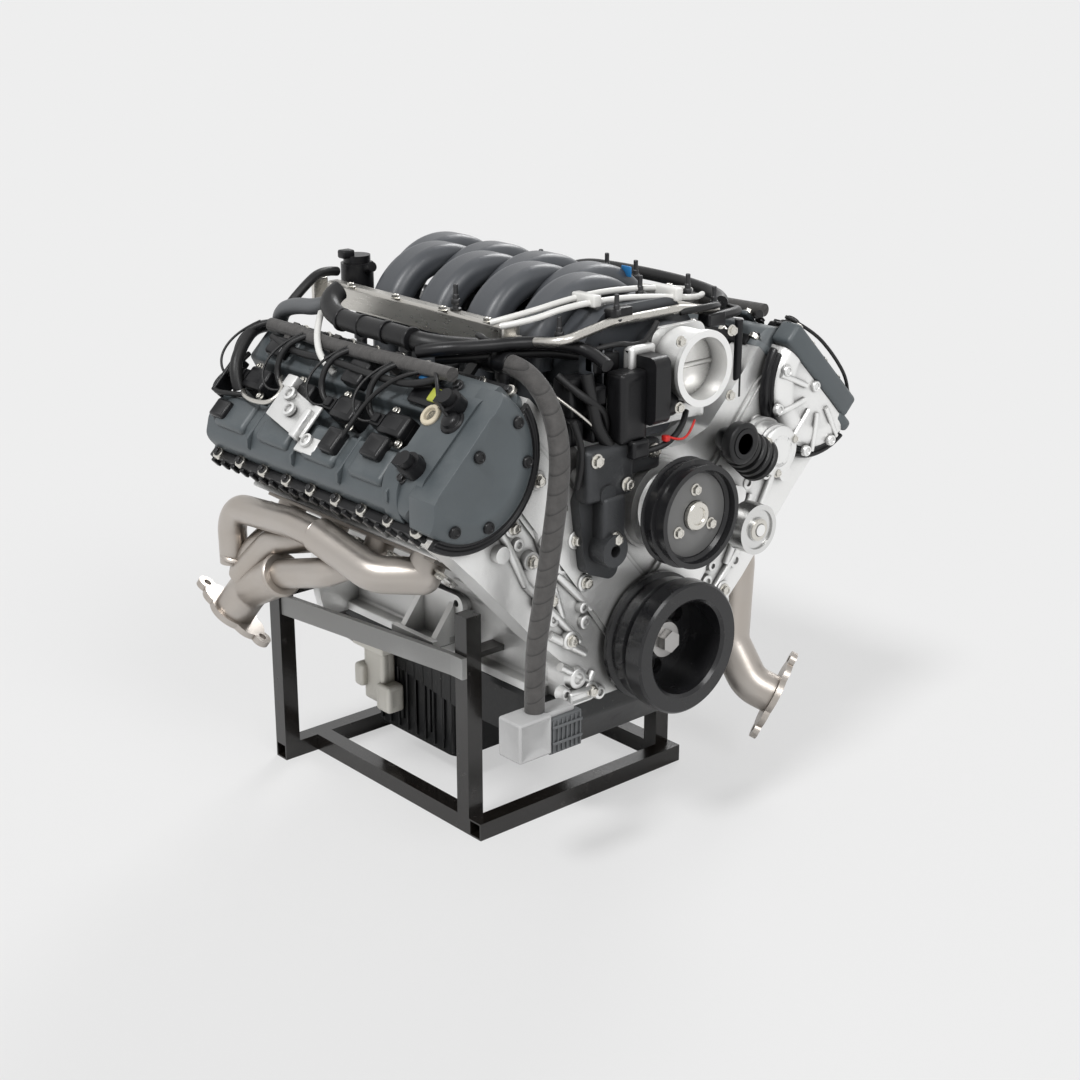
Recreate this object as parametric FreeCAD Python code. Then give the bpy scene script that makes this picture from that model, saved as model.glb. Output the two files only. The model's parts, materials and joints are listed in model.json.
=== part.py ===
"""A complete V8 engine on its square-tube shipping stand.

Frame: origin on the crankshaft axis at the rear face of the flexplate, where a torque converter bolts on.
+Z is up, -Y is the front of the engine (damper and pulleys), +X is the left cylinder bank as seated in a car.
All lengths are millimetres and angles are degrees.

A bank's own frame is used for heads, cam covers and valve gear: "out" is the distance outboard of the
cylinder plane and "rise" the distance from the crankshaft axis along the cylinders.
"""
import FreeCAD
import Part
import math
import os

V = FreeCAD.Vector
X_AXIS = V(1, 0, 0)
Y_AXIS = V(0, 1, 0)
Z_AXIS = V(0, 0, 1)
OUT_DIR = "parts"

# ---------------------------------------------------------------- driving dimensions
# cylinders and crank train
bore = 93.0
stroke = 92.7
rod_length = 150.7
bore_spacing = 100.0
cylinders_per_bank = 4
bank_angle = 45.0            # each bank's lean from vertical
bank_stagger = 20.0          # the right bank lies this far ahead of the left one
deck_height = 227.0
deck_half_width = 78.0
running_clearance = 0.05
seat_gap = 0.3               # between curved faces that only lie against each other

main_journal_r = 33.75
main_journal_length = 26.0
pin_journal_r = 26.5
pin_journal_length = 42.0
bearing_thickness = 2.2
bearing_width = 20.0
bulkhead_thickness = 22.0
counterweight_r = 80.0
pin_angles_from_front = (-45.0, 45.0, 225.0, 135.0)   # cross-plane throws, clockwise from straight up

rod_width = 19.6
rod_big_end_r = 36.5
rod_small_end_r = 17.0
rod_shank_half_width = 11.0
wrist_pin_r = 11.0
wrist_pin_length = 62.0
piston_clearance = 0.15
piston_height = 50.0
piston_crown = 9.0
piston_wall = 5.0

# stations along the crankshaft
flexplate_thickness = 4.0
block_rear = -20.0
rear_main_inset = 16.0       # rear main bearing's middle ahead of the block's rear face
block_nose_wall = 13.0       # front wall beyond the front bulkhead
front_cover_depth = 48.0
front_cover_wall = 8.0
bulge_step = 4.0             # the chain bulges stand forward of the cover's face in two steps
bulge_top = 3.0

# block
crankcase_r = 105.0
skirt_half_width = 126.0
pan_rail_z = -70.0
pan_rail_half_width = 146.0
pan_rail_thickness = 13.0
valley_floor_z = 128.0
bell_flange_r = 197.0
bell_flange_thickness = 16.0
bell_bolt_r = 5.5
bell_bolt_circle_r = 187.0
mount_boss_r = 13.0
mount_boss_reach = 12.0
mount_hole_r = 5.0
mount_hole_depth = 24.0
mount_pad_y = -250.0
mount_pad_z = -12.0
mount_spacing_y = 84.0
mount_spacing_z = 52.0

# cylinder heads and valve gear (bank frame)
gasket_thickness = 1.5
head_inner = 100.0
head_outer = 96.0
gallery_floor_rise = 330.0
cam_rise = 372.0
rail_over_cam = 23.0         # cover rail above the cam axes
rail_rise = cam_rise + rail_over_cam
cam_offset = 45.0
cam_journal_r = 14.0
cam_shaft_r = 11.0
cam_base_r = 16.0
cam_lift = 6.0
cam_lobe_width = 30.0
cam_tower_thickness = 16.0
end_tower = 42.0             # end bearings from the nearest cylinder's middle
cam_cap_height = 19.0
valve_angle = 12.0
valve_stem_r = 2.75
intake_valve_r = 16.0
exhaust_valve_r = 14.0
valve_pair_offset = 18.5
valve_tip_gap = 3.0
chamber_r = 44.5
chamber_depth = 20.0
plug_well_r = 13.5
plug_well_wall = 3.5
intake_port_rise = 311.0
exhaust_port_rise = 288.0
port_r = 17.0

# timing drive
crank_teeth = 16
cam_teeth = 32
chain_pitch = 8.64
chain_thickness = 6.0
chain_width = 7.0
tooth_height = 4.0
secondary_sprocket_r = 28.0
phaser_r = 35.0
snout_r = 16.0
seal_r = 26.0                # damper hub where it runs in the front cover's seal
primary_plane_left = -478.0
primary_plane_right = -490.0
secondary_plane = -467.0

# cam covers (bank frame)
cover_rail_inner = 107.0
cover_rail_outer = 103.0
cover_rail_thickness = 11.0
cover_top_rise = rail_rise + 51.0
cover_trough_rise = rail_rise + 31.0
cover_trough_half_width = 24.0
cover_wall = 4.0
cover_front = -511.0

# crank pulley
damper_r = 89.0
damper_front = -590.0
damper_rear = -518.0
damper_cup_r = 63.0
damper_cup_floor = -530.0

# coolant pump and idler pulley
pump_x = 4.0
pump_z = 182.0
pump_pulley_r = 71.0
pump_pulley_front = -602.0
pump_pulley_width = 38.0
idler_x = 128.0
idler_z = 134.0
idler_r = 34.0
idler_width = 26.0

# intake, throttle and fuel
runner_r = 20.0
runner_width = 58.0
runner_corner = 17.0
runner_arc_r = 88.0
runner_arc_x = 28.0
runner_arc_z = 360.0
throttle_x = 34.0
throttle_z = 364.0
throttle_bore_r = 40.0
throttle_front = -572.0
throttle_length = 58.0
fuel_rail_x = 160.0
fuel_rail_top = 420.0
fuel_rail_height = 34.0
fuel_rail_width = 22.0

# stand
floor_z = -292.0
tube = 25.0
tube_wall = 2.5
stand_half_width = 191.0
stand_front = -393.0
stand_rear_half_width = 248.0
stand_rear_y = 3.0
front_post_top = 26.0
rear_post_top = -22.0
upper_rail_z = -45.0

# ---------------------------------------------------------------- derived values
crank_r = stroke / 2
rear_main_y = block_rear - rear_main_inset
front_main_y = rear_main_y - bore_spacing * cylinders_per_bank
block_front = front_main_y - bulkhead_thickness / 2 - block_nose_wall
cover_face = block_front - front_cover_depth
bulge_face = cover_face - bulge_step - bulge_top
web_thickness = (bore_spacing - main_journal_length - pin_journal_length) / 2
compression_height = deck_height - crank_r - rod_length
bearing_r = main_journal_r + running_clearance
bearing_seat_r = bearing_r + bearing_thickness
head_bottom = deck_height + gasket_thickness
main_stations = [rear_main_y - bore_spacing * i for i in range(cylinders_per_bank + 1)]
pin_stations = [rear_main_y - bore_spacing * (i + 0.5) for i in range(cylinders_per_bank)]
pin_angles = list(reversed(pin_angles_from_front))     # listed from the rear, like the stations
crank_sprocket_r = crank_teeth * chain_pitch / (2 * math.pi)
cam_sprocket_r = cam_teeth * chain_pitch / (2 * math.pi)
LEFT, RIGHT = 1, -1
SIDES = {"left": LEFT, "right": RIGHT}


def cylinder_stations(side):
    """Middles of a bank's cylinders, from the rear."""
    return [y + side * bank_stagger / 2 for y in pin_stations]


# ---------------------------------------------------------------- shape helpers
def box(x0, x1, y0, y1, z0, z1):
    return Part.makeBox(x1 - x0, y1 - y0, z1 - z0, V(x0, y0, z0))


def cylinder(base, direction, radius, length):
    return Part.makeCylinder(radius, length, base, direction)


def cylinder_y(x, z, radius, y0, y1):
    return cylinder(V(x, min(y0, y1), z), Y_AXIS, radius, abs(y1 - y0))


def ring_y(x, z, outer, inner, y0, y1):
    return cylinder_y(x, z, outer, y0, y1).cut(cylinder_y(x, z, inner, y0 - 1, y1 + 1))


def fuse(shapes):
    whole = shapes[0].multiFuse(shapes[1:]) if len(shapes) > 1 else shapes[0]
    return whole.removeSplitter()


def cut(shape, tools):
    return shape.cut(tools) if tools else shape


def outline(points, radius, y):
    """A closed wire in the plane at y through (x, z) points; a third value is that corner's own radius."""
    count = len(points)
    edges = []
    ends = []
    for i, point in enumerate(points):
        here = V(point[0], y, point[1])
        before = V(points[i - 1][0], y, points[i - 1][1])
        after = V(points[(i + 1) % count][0], y, points[(i + 1) % count][1])
        into = (here - before).normalize()
        out = (after - here).normalize()
        turn = math.acos(max(-1.0, min(1.0, into.dot(out))))
        corner = point[2] if len(point) > 2 else radius
        reach = corner * math.tan(turn / 2)
        room = 0.49 * min((here - before).Length, (after - here).Length)
        if reach > room:
            corner = corner * room / reach
            reach = room
        if corner < 0.05 or turn < 0.02:
            ends.append((here, here, None))
            continue
        start = here - into * reach
        end = here + out * reach
        bisector = (out - into).normalize()
        middle = here + bisector * (corner / math.cos(turn / 2) - corner)
        ends.append((start, end, middle))
    for i, (start, end, middle) in enumerate(ends):
        if middle is not None:
            edges.append(Part.Arc(start, middle, end).toShape())
        following = ends[(i + 1) % count][0]
        if (following - end).Length > 1e-6:
            edges.append(Part.LineSegment(end, following).toShape())
    return Part.Wire(edges)


def prism(points, radius, y0, y1):
    """A solid with that (x, z) outline between two stations."""
    low, high = min(y0, y1), max(y0, y1)
    return Part.Face(outline(points, radius, low)).extrude(V(0, high - low, 0))


def mirrored(points):
    """An outline from its right half, listed from bottom to top."""
    return list(points) + [(-p[0],) + tuple(p[1:]) for p in reversed(points) if abs(p[0]) > 1e-9]


def place_on_bank(shape, side):
    """Takes a shape from the bank frame (x out, z rise) to the engine frame."""
    turned = shape.copy()
    turned.rotate(V(0, 0, 0), Y_AXIS, bank_angle)
    return turned if side == LEFT else turned.mirror(V(0, 0, 0), X_AXIS)


def bank_point(side, out, y, rise):
    lean = math.radians(bank_angle)
    x = rise * math.sin(lean) + out * math.cos(lean)
    return V(side * x, y, rise * math.cos(lean) - out * math.sin(lean))


def bent_rod(points, radius, bend):
    """A round bar through points, each corner bent to the given radius or to the room, or a ball joint."""
    solids = []
    last = points[0]
    for i in range(1, len(points)):
        here = points[i]
        into = (here - points[i - 1]).normalize()
        end = here
        arc = None
        if i < len(points) - 1:
            out = (points[i + 1] - here).normalize()
            turn = math.acos(max(-1.0, min(1.0, into.dot(out))))
            if turn > 0.01:
                shorter = min((here - points[i - 1]).Length, (points[i + 1] - here).Length)
                reach = min(bend * math.tan(turn / 2), 0.48 * shorter)
                arc_r = reach / math.tan(turn / 2)
                if arc_r < 1.03 * radius:
                    arc = Part.makeSphere(radius, here)
                    after = here
                else:
                    end = here - into * reach
                    axis = into.cross(out).normalize()
                    centre = end + axis.cross(into) * arc_r
                    disc = Part.Face(Part.Wire(Part.makeCircle(radius, end, into)))
                    arc = disc.revolve(centre, axis, math.degrees(turn))
                    after = here + out * reach
        if (end - last).Length > 1e-4:
            solids.append(cylinder(last, into, radius, (end - last).Length))
        last = end
        if arc is not None:
            solids.append(arc)
            last = after
    return fuse(solids)


def bolt_circle(count, radius, start=0.0):
    return [(radius * math.sin(math.radians(start + 360.0 * i / count)),
             radius * math.cos(math.radians(start + 360.0 * i / count))) for i in range(count)]


def save(name, shapes):
    """Writes one node, whole solids only."""
    solids = []
    for shape in shapes if isinstance(shapes, list) else [shapes]:
        solids.extend(shape.Solids)
    node = solids[0] if len(solids) == 1 else Part.makeCompound(solids)
    node.exportStep(os.path.join(OUT_DIR, name + ".step"))


# ---------------------------------------------------------------- block and crankcase
def block_outline():
    """The vee section: skirt, outer walls, decks and valley."""
    inner_deck = bank_point(LEFT, -deck_half_width, 0, deck_height)
    outer_deck = bank_point(LEFT, deck_half_width, 0, deck_height)
    wall_foot = bank_point(LEFT, deck_half_width, 0, deck_half_width + 32)
    half = [
        (pan_rail_half_width, pan_rail_z, 2),
        (pan_rail_half_width, pan_rail_z + pan_rail_thickness, 2),
        (skirt_half_width, pan_rail_z + pan_rail_thickness, 4),
        (skirt_half_width, -8, 14),
        (wall_foot.x, wall_foot.z, 20),
        (outer_deck.x, outer_deck.z, 3),
        (inner_deck.x, inner_deck.z, 3),
        (38, valley_floor_z, 16),
    ]
    return mirrored(half)


def mount_holes(side):
    """Middles of the motor mount holes on one side of the block."""
    return [(y, z) for y in (mount_pad_y - mount_spacing_y / 2, mount_pad_y + mount_spacing_y / 2)
            for z in (mount_pad_z - mount_spacing_z / 2, mount_pad_z + mount_spacing_z / 2)]


def engine_block():
    body = prism(block_outline(), 6, block_front, block_rear)
    flange = cylinder_y(0, 0, bell_flange_r, block_rear - bell_flange_thickness, block_rear).common(
        box(-bell_flange_r, bell_flange_r, block_rear - 50, block_rear, pan_rail_z, bell_flange_r))
    bosses = []
    holes = []
    pad_face = skirt_half_width + mount_boss_reach
    for side in SIDES.values():
        for y, z in mount_holes(side):
            bosses.append(cylinder(V(side * (skirt_half_width - 14), y, z), V(side, 0, 0), mount_boss_r,
                                   mount_boss_reach + 14))
            holes.append(cylinder(V(side * (pad_face - mount_hole_depth), y, z), V(side, 0, 0), mount_hole_r,
                                  mount_hole_depth + 1))
        for y in cylinder_stations(side)[1:]:
            root = bank_point(side, deck_half_width - 3, y + bore_spacing / 2, 165)
            outward = bank_point(side, 1, 0, 0)
            bosses.append(cylinder(root, outward, 19, 6))
    body = fuse([body, flange] + bosses)
    tools = list(holes)
    inner_front = block_front + block_nose_wall
    tools.append(box(-crankcase_r, crankcase_r, inner_front, block_rear - 4.5, pan_rail_z - 1, 0))
    for y in pin_stations:
        half_bay = (bore_spacing - bulkhead_thickness) / 2
        tools.append(cylinder_y(0, 0, crankcase_r, y - half_bay, y + half_bay))
    tools.append(cylinder_y(0, 0, bearing_seat_r, block_front - 1, block_rear + 1))
    tools.append(cylinder_y(0, 0, 46, block_rear - 5, block_rear + 1))
    for side in SIDES.values():
        for y in cylinder_stations(side):
            start = bank_point(side, 0, y, 70)
            along = bank_point(side, 0, 0, 1)
            tools.append(cylinder(start, along, bore / 2, deck_height - 60))
    for x, z in bell_holes():
        tools.append(cylinder_y(x, z, bell_bolt_r, block_rear - 40, block_rear + 1))
    return cut(body, tools)


def bell_holes():
    """Six clutch-housing holes round the upper half of the rear flange, two level with the crankshaft."""
    angles = (-90, -58, -28, 28, 58, 90)
    return [(bell_bolt_circle_r * math.sin(math.radians(a)), bell_bolt_circle_r * math.cos(math.radians(a)))
            for a in angles]


def main_caps():
    caps = []
    for y in main_stations:
        half = bulkhead_thickness / 2
        points = mirrored([(38, pan_rail_z + 4, 8), (crankcase_r, -26, 6), (crankcase_r, 0, 0)])
        cap = prism(points, 4, y - half, y + half)
        caps.append(cut(cap, [cylinder_y(0, 0, bearing_seat_r, y - 30, y + 30)]))
    return caps


def main_bearings():
    return [ring_y(0, 0, bearing_seat_r, bearing_r, y - bearing_width / 2, y + bearing_width / 2)
            for y in main_stations]


def rear_seal_carrier():
    plate = prism([(-66, -62), (66, -62), (66, 62), (-66, 62)], 26, block_rear, block_rear + 7)
    return cut(plate, [cylinder_y(0, 0, 42 + seat_gap, block_rear - 5, block_rear + 20)])


# ---------------------------------------------------------------- crankshaft and what turns with it
def throw_direction(angle):
    return V(math.sin(math.radians(angle)), 0, math.cos(math.radians(angle)))


def crank_web(angle, y0, y1):
    """A web round one crankpin, with its counterweight on the far side."""
    half_nose = pin_journal_r + 9
    shoulder = 46.0
    flank = math.radians(20)
    nose = [V(-half_nose, y0, crank_r), V(0, y0, crank_r + half_nose), V(half_nose, y0, crank_r)]
    foot = [V(counterweight_r * math.cos(flank), y0, -counterweight_r * math.sin(flank)),
            V(0, y0, -counterweight_r),
            V(-counterweight_r * math.cos(flank), y0, -counterweight_r * math.sin(flank))]
    edges = [
        Part.Arc(*nose).toShape(),
        Part.LineSegment(nose[2], V(shoulder, y0, -14)).toShape(),
        Part.LineSegment(V(shoulder, y0, -14), foot[0]).toShape(),
        Part.Arc(*foot).toShape(),
        Part.LineSegment(foot[2], V(-shoulder, y0, -14)).toShape(),
        Part.LineSegment(V(-shoulder, y0, -14), nose[0]).toShape(),
    ]
    web = Part.Face(Part.Wire(edges)).extrude(V(0, y1 - y0, 0))
    web.rotate(V(0, 0, 0), Y_AXIS, angle)
    return web


def crankshaft():
    pieces = []
    for y in main_stations:
        half = main_journal_length / 2
        pieces.append(cylinder_y(0, 0, main_journal_r, y - half, y + half))
    for y, angle in zip(pin_stations, pin_angles):
        centre = throw_direction(angle) * crank_r
        half = pin_journal_length / 2
        pieces.append(cylinder_y(centre.x, centre.z, pin_journal_r, y - half, y + half))
        pieces.append(crank_web(angle, y - half - web_thickness, y - half))
        pieces.append(crank_web(angle, y + half, y + half + web_thickness))
    pieces.append(cylinder_y(0, 0, 42, rear_main_y + main_journal_length / 2, -flexplate_thickness))
    pieces.append(cylinder_y(0, 0, snout_r, damper_cup_floor + 8, front_main_y))
    shaft = fuse(pieces)
    bolt_hole = cylinder_y(0, 0, 6, damper_cup_floor - 1, damper_cup_floor + 46)
    return cut(shaft, [bolt_hole])


def sprocket(x, z, pitch_r, teeth, bore_r, y0, y1, hub_r):
    """A chain wheel with one tooth for each pitch."""
    root = pitch_r - tooth_height / 2
    tip = pitch_r + tooth_height / 2
    points = []
    for i in range(teeth):
        for share, radius in ((-0.28, root), (-0.10, tip), (0.10, tip), (0.28, root)):
            a = 2 * math.pi * (i + share) / teeth
            points.append(V(x + radius * math.sin(a), y0, z + radius * math.cos(a)))
    wheel = Part.Face(Part.makePolygon(points + [points[0]])).extrude(V(0, y1 - y0, 0))
    if hub_r:
        wheel = wheel.fuse(cylinder_y(x, z, hub_r, y0 - 4, y1 + 4))
    return wheel.cut(cylinder_y(x, z, bore_r, y0 - 20, y1 + 20))


def crank_sprocket():
    """One wheel for each bank's chain on a common sleeve."""
    half = chain_width / 2 - 1
    wheels = [sprocket(0, 0, crank_sprocket_r, crank_teeth, snout_r, plane - half, plane + half, 0)
              for plane in (primary_plane_left, primary_plane_right)]
    sleeve = ring_y(0, 0, snout_r + 3, snout_r, primary_plane_right - half - 2, primary_plane_left + half + 2)
    return fuse(wheels + [sleeve])


def damper():
    """Crank pulley: a cup with a belt track at the rear, a plain band in the middle and a wide front ring."""
    band = damper_r - 5
    profile = [
        (snout_r + 1, damper_rear), (damper_r - 7, damper_rear), (damper_r - 2, damper_rear - 3),
        (damper_r - 2, damper_rear - 9), (damper_r - 9, damper_rear - 13), (damper_r - 9, damper_rear - 18),
        (band, damper_rear - 21), (band, damper_rear - 34), (damper_r - 11, damper_rear - 38),
        (damper_r - 11, damper_rear - 43), (damper_r, damper_rear - 46), (damper_r, damper_front + 3),
        (damper_r - 3, damper_front), (damper_cup_r + 4, damper_front), (damper_cup_r, damper_front + 4),
        (damper_cup_r, damper_cup_floor), (snout_r + 1, damper_cup_floor),
    ]
    points = [V(r, y, 0) for r, y in profile]
    ring = Part.Face(Part.makePolygon(points + [points[0]])).revolve(V(0, 0, 0), Y_AXIS, 360)
    hub_rear = primary_plane_right - chain_width / 2 - 1
    hub = ring_y(0, 0, seal_r, snout_r, damper_cup_floor - 10, hub_rear)
    spoke_holes = [cylinder_y(x, z, 11, damper_cup_floor - 1, damper_rear + 1)
                   for x, z in bolt_circle(3, 43, 60)]
    return cut(fuse([Part.Solid(ring) if ring.ShapeType != "Solid" else ring, hub]), spoke_holes)


def damper_bolt():
    """Centre bolt and its thick washer, in the bottom of the cup."""
    seat = damper_cup_floor - 10
    washer = cylinder_y(0, 0, 24, seat - 7, seat)
    head = prism([(15 * math.sin(math.radians(a)), 15 * math.cos(math.radians(a)))
                  for a in range(0, 360, 60)], 0, seat - 19, seat - 7)
    shank = cylinder_y(0, 0, 6 - running_clearance, seat, damper_cup_floor + 44)
    return fuse([washer, head, shank])


def flexplate():
    plate = cylinder_y(0, 0, 172, -flexplate_thickness, 0)
    gear = ring_y(0, 0, 181, 171, -9, 2)
    holes = [cylinder_y(x, z, 5, -20, 20) for x, z in bolt_circle(6, 143)]
    holes += [cylinder_y(x, z, 19, -20, 20) for x, z in bolt_circle(6, 100, 30)]
    return cut(fuse([plate, gear]), holes)


# ---------------------------------------------------------------- pistons and rods
def crank_train():
    """Pistons with their wrist pins, and rods, each where the slider-crank puts it at this crank angle."""
    pistons = []
    rods = []
    for side in SIDES.values():
        for y, pin_angle in zip(cylinder_stations(side), pin_angles):
            swing = math.radians(pin_angle - side * bank_angle) * side
            out, rise = crank_r * math.sin(swing), crank_r * math.cos(swing)
            wrist = rise + math.sqrt(rod_length ** 2 - out ** 2)
            pistons.append(place_on_bank(piston(y, wrist), side))
            pistons.append(place_on_bank(wrist_pin(y, wrist), side))
            rods.append(place_on_bank(connecting_rod(y, out, rise, wrist), side))
    return pistons, rods


def piston(y, wrist):
    radius = bore / 2 - piston_clearance
    crown = wrist + compression_height
    body = cylinder(V(0, y, crown - piston_height), Z_AXIS, radius, piston_height)
    inside = cylinder(V(0, y, crown - piston_height - 1), Z_AXIS, radius - piston_wall,
                      piston_height - piston_crown + 1)
    core = body.cut(inside)
    half_gap = rod_width / 2 + 1.2
    bosses = [box(-15, 15, y0, y1, wrist - 15, crown - piston_crown / 2)
              for y0, y1 in ((y + half_gap, y + radius - 3), (y - radius + 3, y - half_gap))]
    core = fuse([core] + [b.common(body) for b in bosses])
    pin_hole = cylinder(V(0, y - bore, wrist), Y_AXIS, wrist_pin_r + running_clearance, 2 * bore)
    scallops = [box(-bore, bore, y + s * (radius - 7) - 8, y + s * (radius - 7) + 8, crown - piston_height - 1,
                    wrist - 15) for s in (-1, 1)]
    return cut(core, [pin_hole] + scallops)


def wrist_pin(y, wrist):
    return ring_along_y(V(0, y, wrist), wrist_pin_r, wrist_pin_r - 5, wrist_pin_length)


def ring_along_y(centre, outer, inner, length):
    return ring_y(centre.x, centre.z, outer, inner, centre.y - length / 2, centre.y + length / 2)


def connecting_rod(y, out, rise, wrist):
    """Big end on the crankpin at (out, rise), small end on the wrist pin straight above the axis."""
    big = cylinder_y(0, 0, rod_big_end_r, y - rod_width / 2, y + rod_width / 2)
    small = cylinder_y(0, rod_length, rod_small_end_r, y - rod_width / 2, y + rod_width / 2)
    top = rod_shank_half_width - 2
    shank = prism([(-rod_shank_half_width - 3, 24, 0), (rod_shank_half_width + 3, 24, 0),
                   (top, rod_length - 10, 0), (-top, rod_length - 10, 0)], 0, y - 7, y + 7)
    bolts = box(-rod_big_end_r - 4, rod_big_end_r + 4, y - 8, y + 8, -12, 12)
    rod = fuse([big, small, shank, bolts])
    rod = cut(rod, [cylinder_y(0, 0, pin_journal_r + running_clearance, y - 30, y + 30),
                    cylinder_y(0, rod_length, wrist_pin_r + running_clearance, y - 30, y + 30)])
    lean = math.degrees(math.asin(-out / rod_length))
    rod.rotate(V(0, 0, 0), Y_AXIS, lean)
    rod.translate(V(out, 0, rise))
    return rod


# ---------------------------------------------------------------- cylinder heads and valve gear
def head_rear(side):
    return cylinder_stations(side)[0] + 60


def tower_stations(side):
    """Cam bearings lie between cylinders and outside the end ones."""
    middle = cylinder_stations(side)
    return [middle[0] + end_tower] + [y - bore_spacing / 2 for y in middle[:-1]] + [middle[-1] - end_tower]


def cylinder_head(side):
    rear = head_rear(side)
    section = [(-80, head_bottom, 2), (80, head_bottom, 2), (84, 262, 8), (head_outer, 318, 10),
               (head_outer, rail_rise, 2), (-head_inner, rail_rise, 2), (-head_inner, 296, 8), (-84, 258, 8)]
    body = prism(section, 3, block_front, rear)
    gallery = box(-84, 84, block_front + 12, rear - 10, gallery_floor_rise, rail_rise + 1)
    towers = [box(-78, 78, y - cam_tower_thickness / 2, y + cam_tower_thickness / 2, gallery_floor_rise - 1,
                  cam_rise) for y in tower_stations(side)]
    wells = [cylinder(V(0, y, gallery_floor_rise - 2), Z_AXIS, plug_well_r + plug_well_wall,
                      rail_rise - gallery_floor_rise + 2) for y in cylinder_stations(side)]
    body = fuse([body.cut(gallery)] + towers + wells)
    tools = []
    for out in (-cam_offset, cam_offset):
        tools.append(cylinder_y(out, cam_rise, cam_journal_r + running_clearance, block_front - 1, rear - 6))
    for y in cylinder_stations(side):
        tools.append(cylinder(V(0, y, head_bottom - 1), Z_AXIS, chamber_r, chamber_depth + 1))
        tools.append(cylinder(V(0, y, head_bottom + chamber_depth + 22), Z_AXIS, plug_well_r, 200))
        tools.append(cylinder(V(0, y, head_bottom), Z_AXIS, 7, 60))
        for out, rise, reach in ((-head_inner - 1, intake_port_rise, 62),
                                 (head_outer + 8, exhaust_port_rise, 62)):
            inward = V(-out, 0, -30).normalize()
            tools.append(cylinder(V(out, y, rise), inward, port_r, reach))
    for valve_out, y, lean in valve_places(side):
        tools.append(valve_bar(valve_out, y, lean, valve_stem_r + running_clearance))
    return place_on_bank(cut(body, tools), side)


def valve_places(side):
    """(offset at the tip, station, lean) of each valve: two intake and two exhaust for each cylinder."""
    places = []
    for y in cylinder_stations(side):
        for row in (-1, 1):
            for pair in (-1, 1):
                places.append((row * cam_offset, y + pair * valve_pair_offset, row * valve_angle))
    return places


def valve_length():
    tip = cam_rise - cam_base_r - cam_lift - valve_tip_gap
    return (tip - head_bottom - 6) / math.cos(math.radians(valve_angle))


def valve_bar(tip_out, y, lean, radius):
    """The straight bar of a valve's stem from its tip down to its head."""
    tip = V(tip_out, y, cam_rise - cam_base_r - cam_lift - valve_tip_gap)
    down = V(-math.sin(math.radians(lean)), 0, -math.cos(math.radians(lean)))
    return cylinder(tip, down, radius, valve_length())


def valves():
    made = []
    for side in SIDES.values():
        for tip_out, y, lean in valve_places(side):
            head_r = intake_valve_r if tip_out < 0 else exhaust_valve_r
            stem = valve_bar(tip_out, y, lean, valve_stem_r)
            down = V(-math.sin(math.radians(lean)), 0, -math.cos(math.radians(lean)))
            tip = V(tip_out, y, cam_rise - cam_base_r - cam_lift - valve_tip_gap)
            foot = tip + down * valve_length()
            tulip = Part.makeCone(valve_stem_r, head_r, 9, foot - down * 9, down)
            rim = cylinder(foot - down * 0.01, down, head_r, 2)
            made.append(place_on_bank(fuse([stem, tulip, rim]), side))
    return made


def cam_caps():
    caps = []
    for side in SIDES.values():
        for y in tower_stations(side):
            half = cam_tower_thickness / 2
            for out in (-cam_offset, cam_offset):
                cap = prism([(out - 30, cam_rise, 0), (out + 30, cam_rise, 0), (out + 30, cam_rise + 7, 3),
                             (out + 17, cam_rise + cam_cap_height, 6), (out - 17, cam_rise + cam_cap_height, 6),
                             (out - 30, cam_rise + 7, 3)], 3, y - half, y + half)
                cap = cap.cut(cylinder_y(out, cam_rise, cam_journal_r + running_clearance, y - 30, y + 30))
                caps.append(place_on_bank(cap, side))
    return caps


def cam_lobe(out, y0, y1, nose_angle):
    """Base circle and nose joined by straight flanks."""
    nose_r = 7.0
    reach = cam_base_r + cam_lift - nose_r
    open_angle = math.acos((cam_base_r - nose_r) / reach)
    base_side = V(cam_base_r * math.sin(open_angle), y0, cam_base_r * math.cos(open_angle))
    nose_side = V(nose_r * math.sin(open_angle), y0, reach + nose_r * math.cos(open_angle))

    def flip(p):
        return V(-p.x, p.y, p.z)

    edges = [
        Part.Arc(base_side, V(0, y0, -cam_base_r), flip(base_side)).toShape(),
        Part.LineSegment(flip(base_side), flip(nose_side)).toShape(),
        Part.Arc(flip(nose_side), V(0, y0, cam_base_r + cam_lift), nose_side).toShape(),
        Part.LineSegment(nose_side, base_side).toShape(),
    ]
    lobe = Part.Face(Part.Wire(edges)).extrude(V(0, y1 - y0, 0))
    lobe.rotate(V(0, 0, 0), Y_AXIS, nose_angle)
    lobe.translate(V(out, 0, cam_rise))
    return lobe


def camshaft(side, out):
    """Shaft, a lobe pair over each cylinder, journals in the towers, and the wheels on its nose."""
    plane = primary_plane_left if side == LEFT else primary_plane_right
    nose = plane - chain_width / 2 - 2
    rear = head_rear(side) - 12
    pieces = [cylinder_y(out, cam_rise, cam_shaft_r, nose, rear)]
    for y in tower_stations(side):
        half = cam_tower_thickness / 2 + 1
        pieces.append(cylinder_y(out, cam_rise, cam_journal_r, y - half, y + half))
    step = 90.0
    for i, y in enumerate(cylinder_stations(side)):
        half = cam_lobe_width
        start = 150.0 if out < 0 else 30.0
        pieces.append(cam_lobe(out, y - half, y + half, start + step * i))
    return place_on_bank(fuse(pieces), side)


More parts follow.
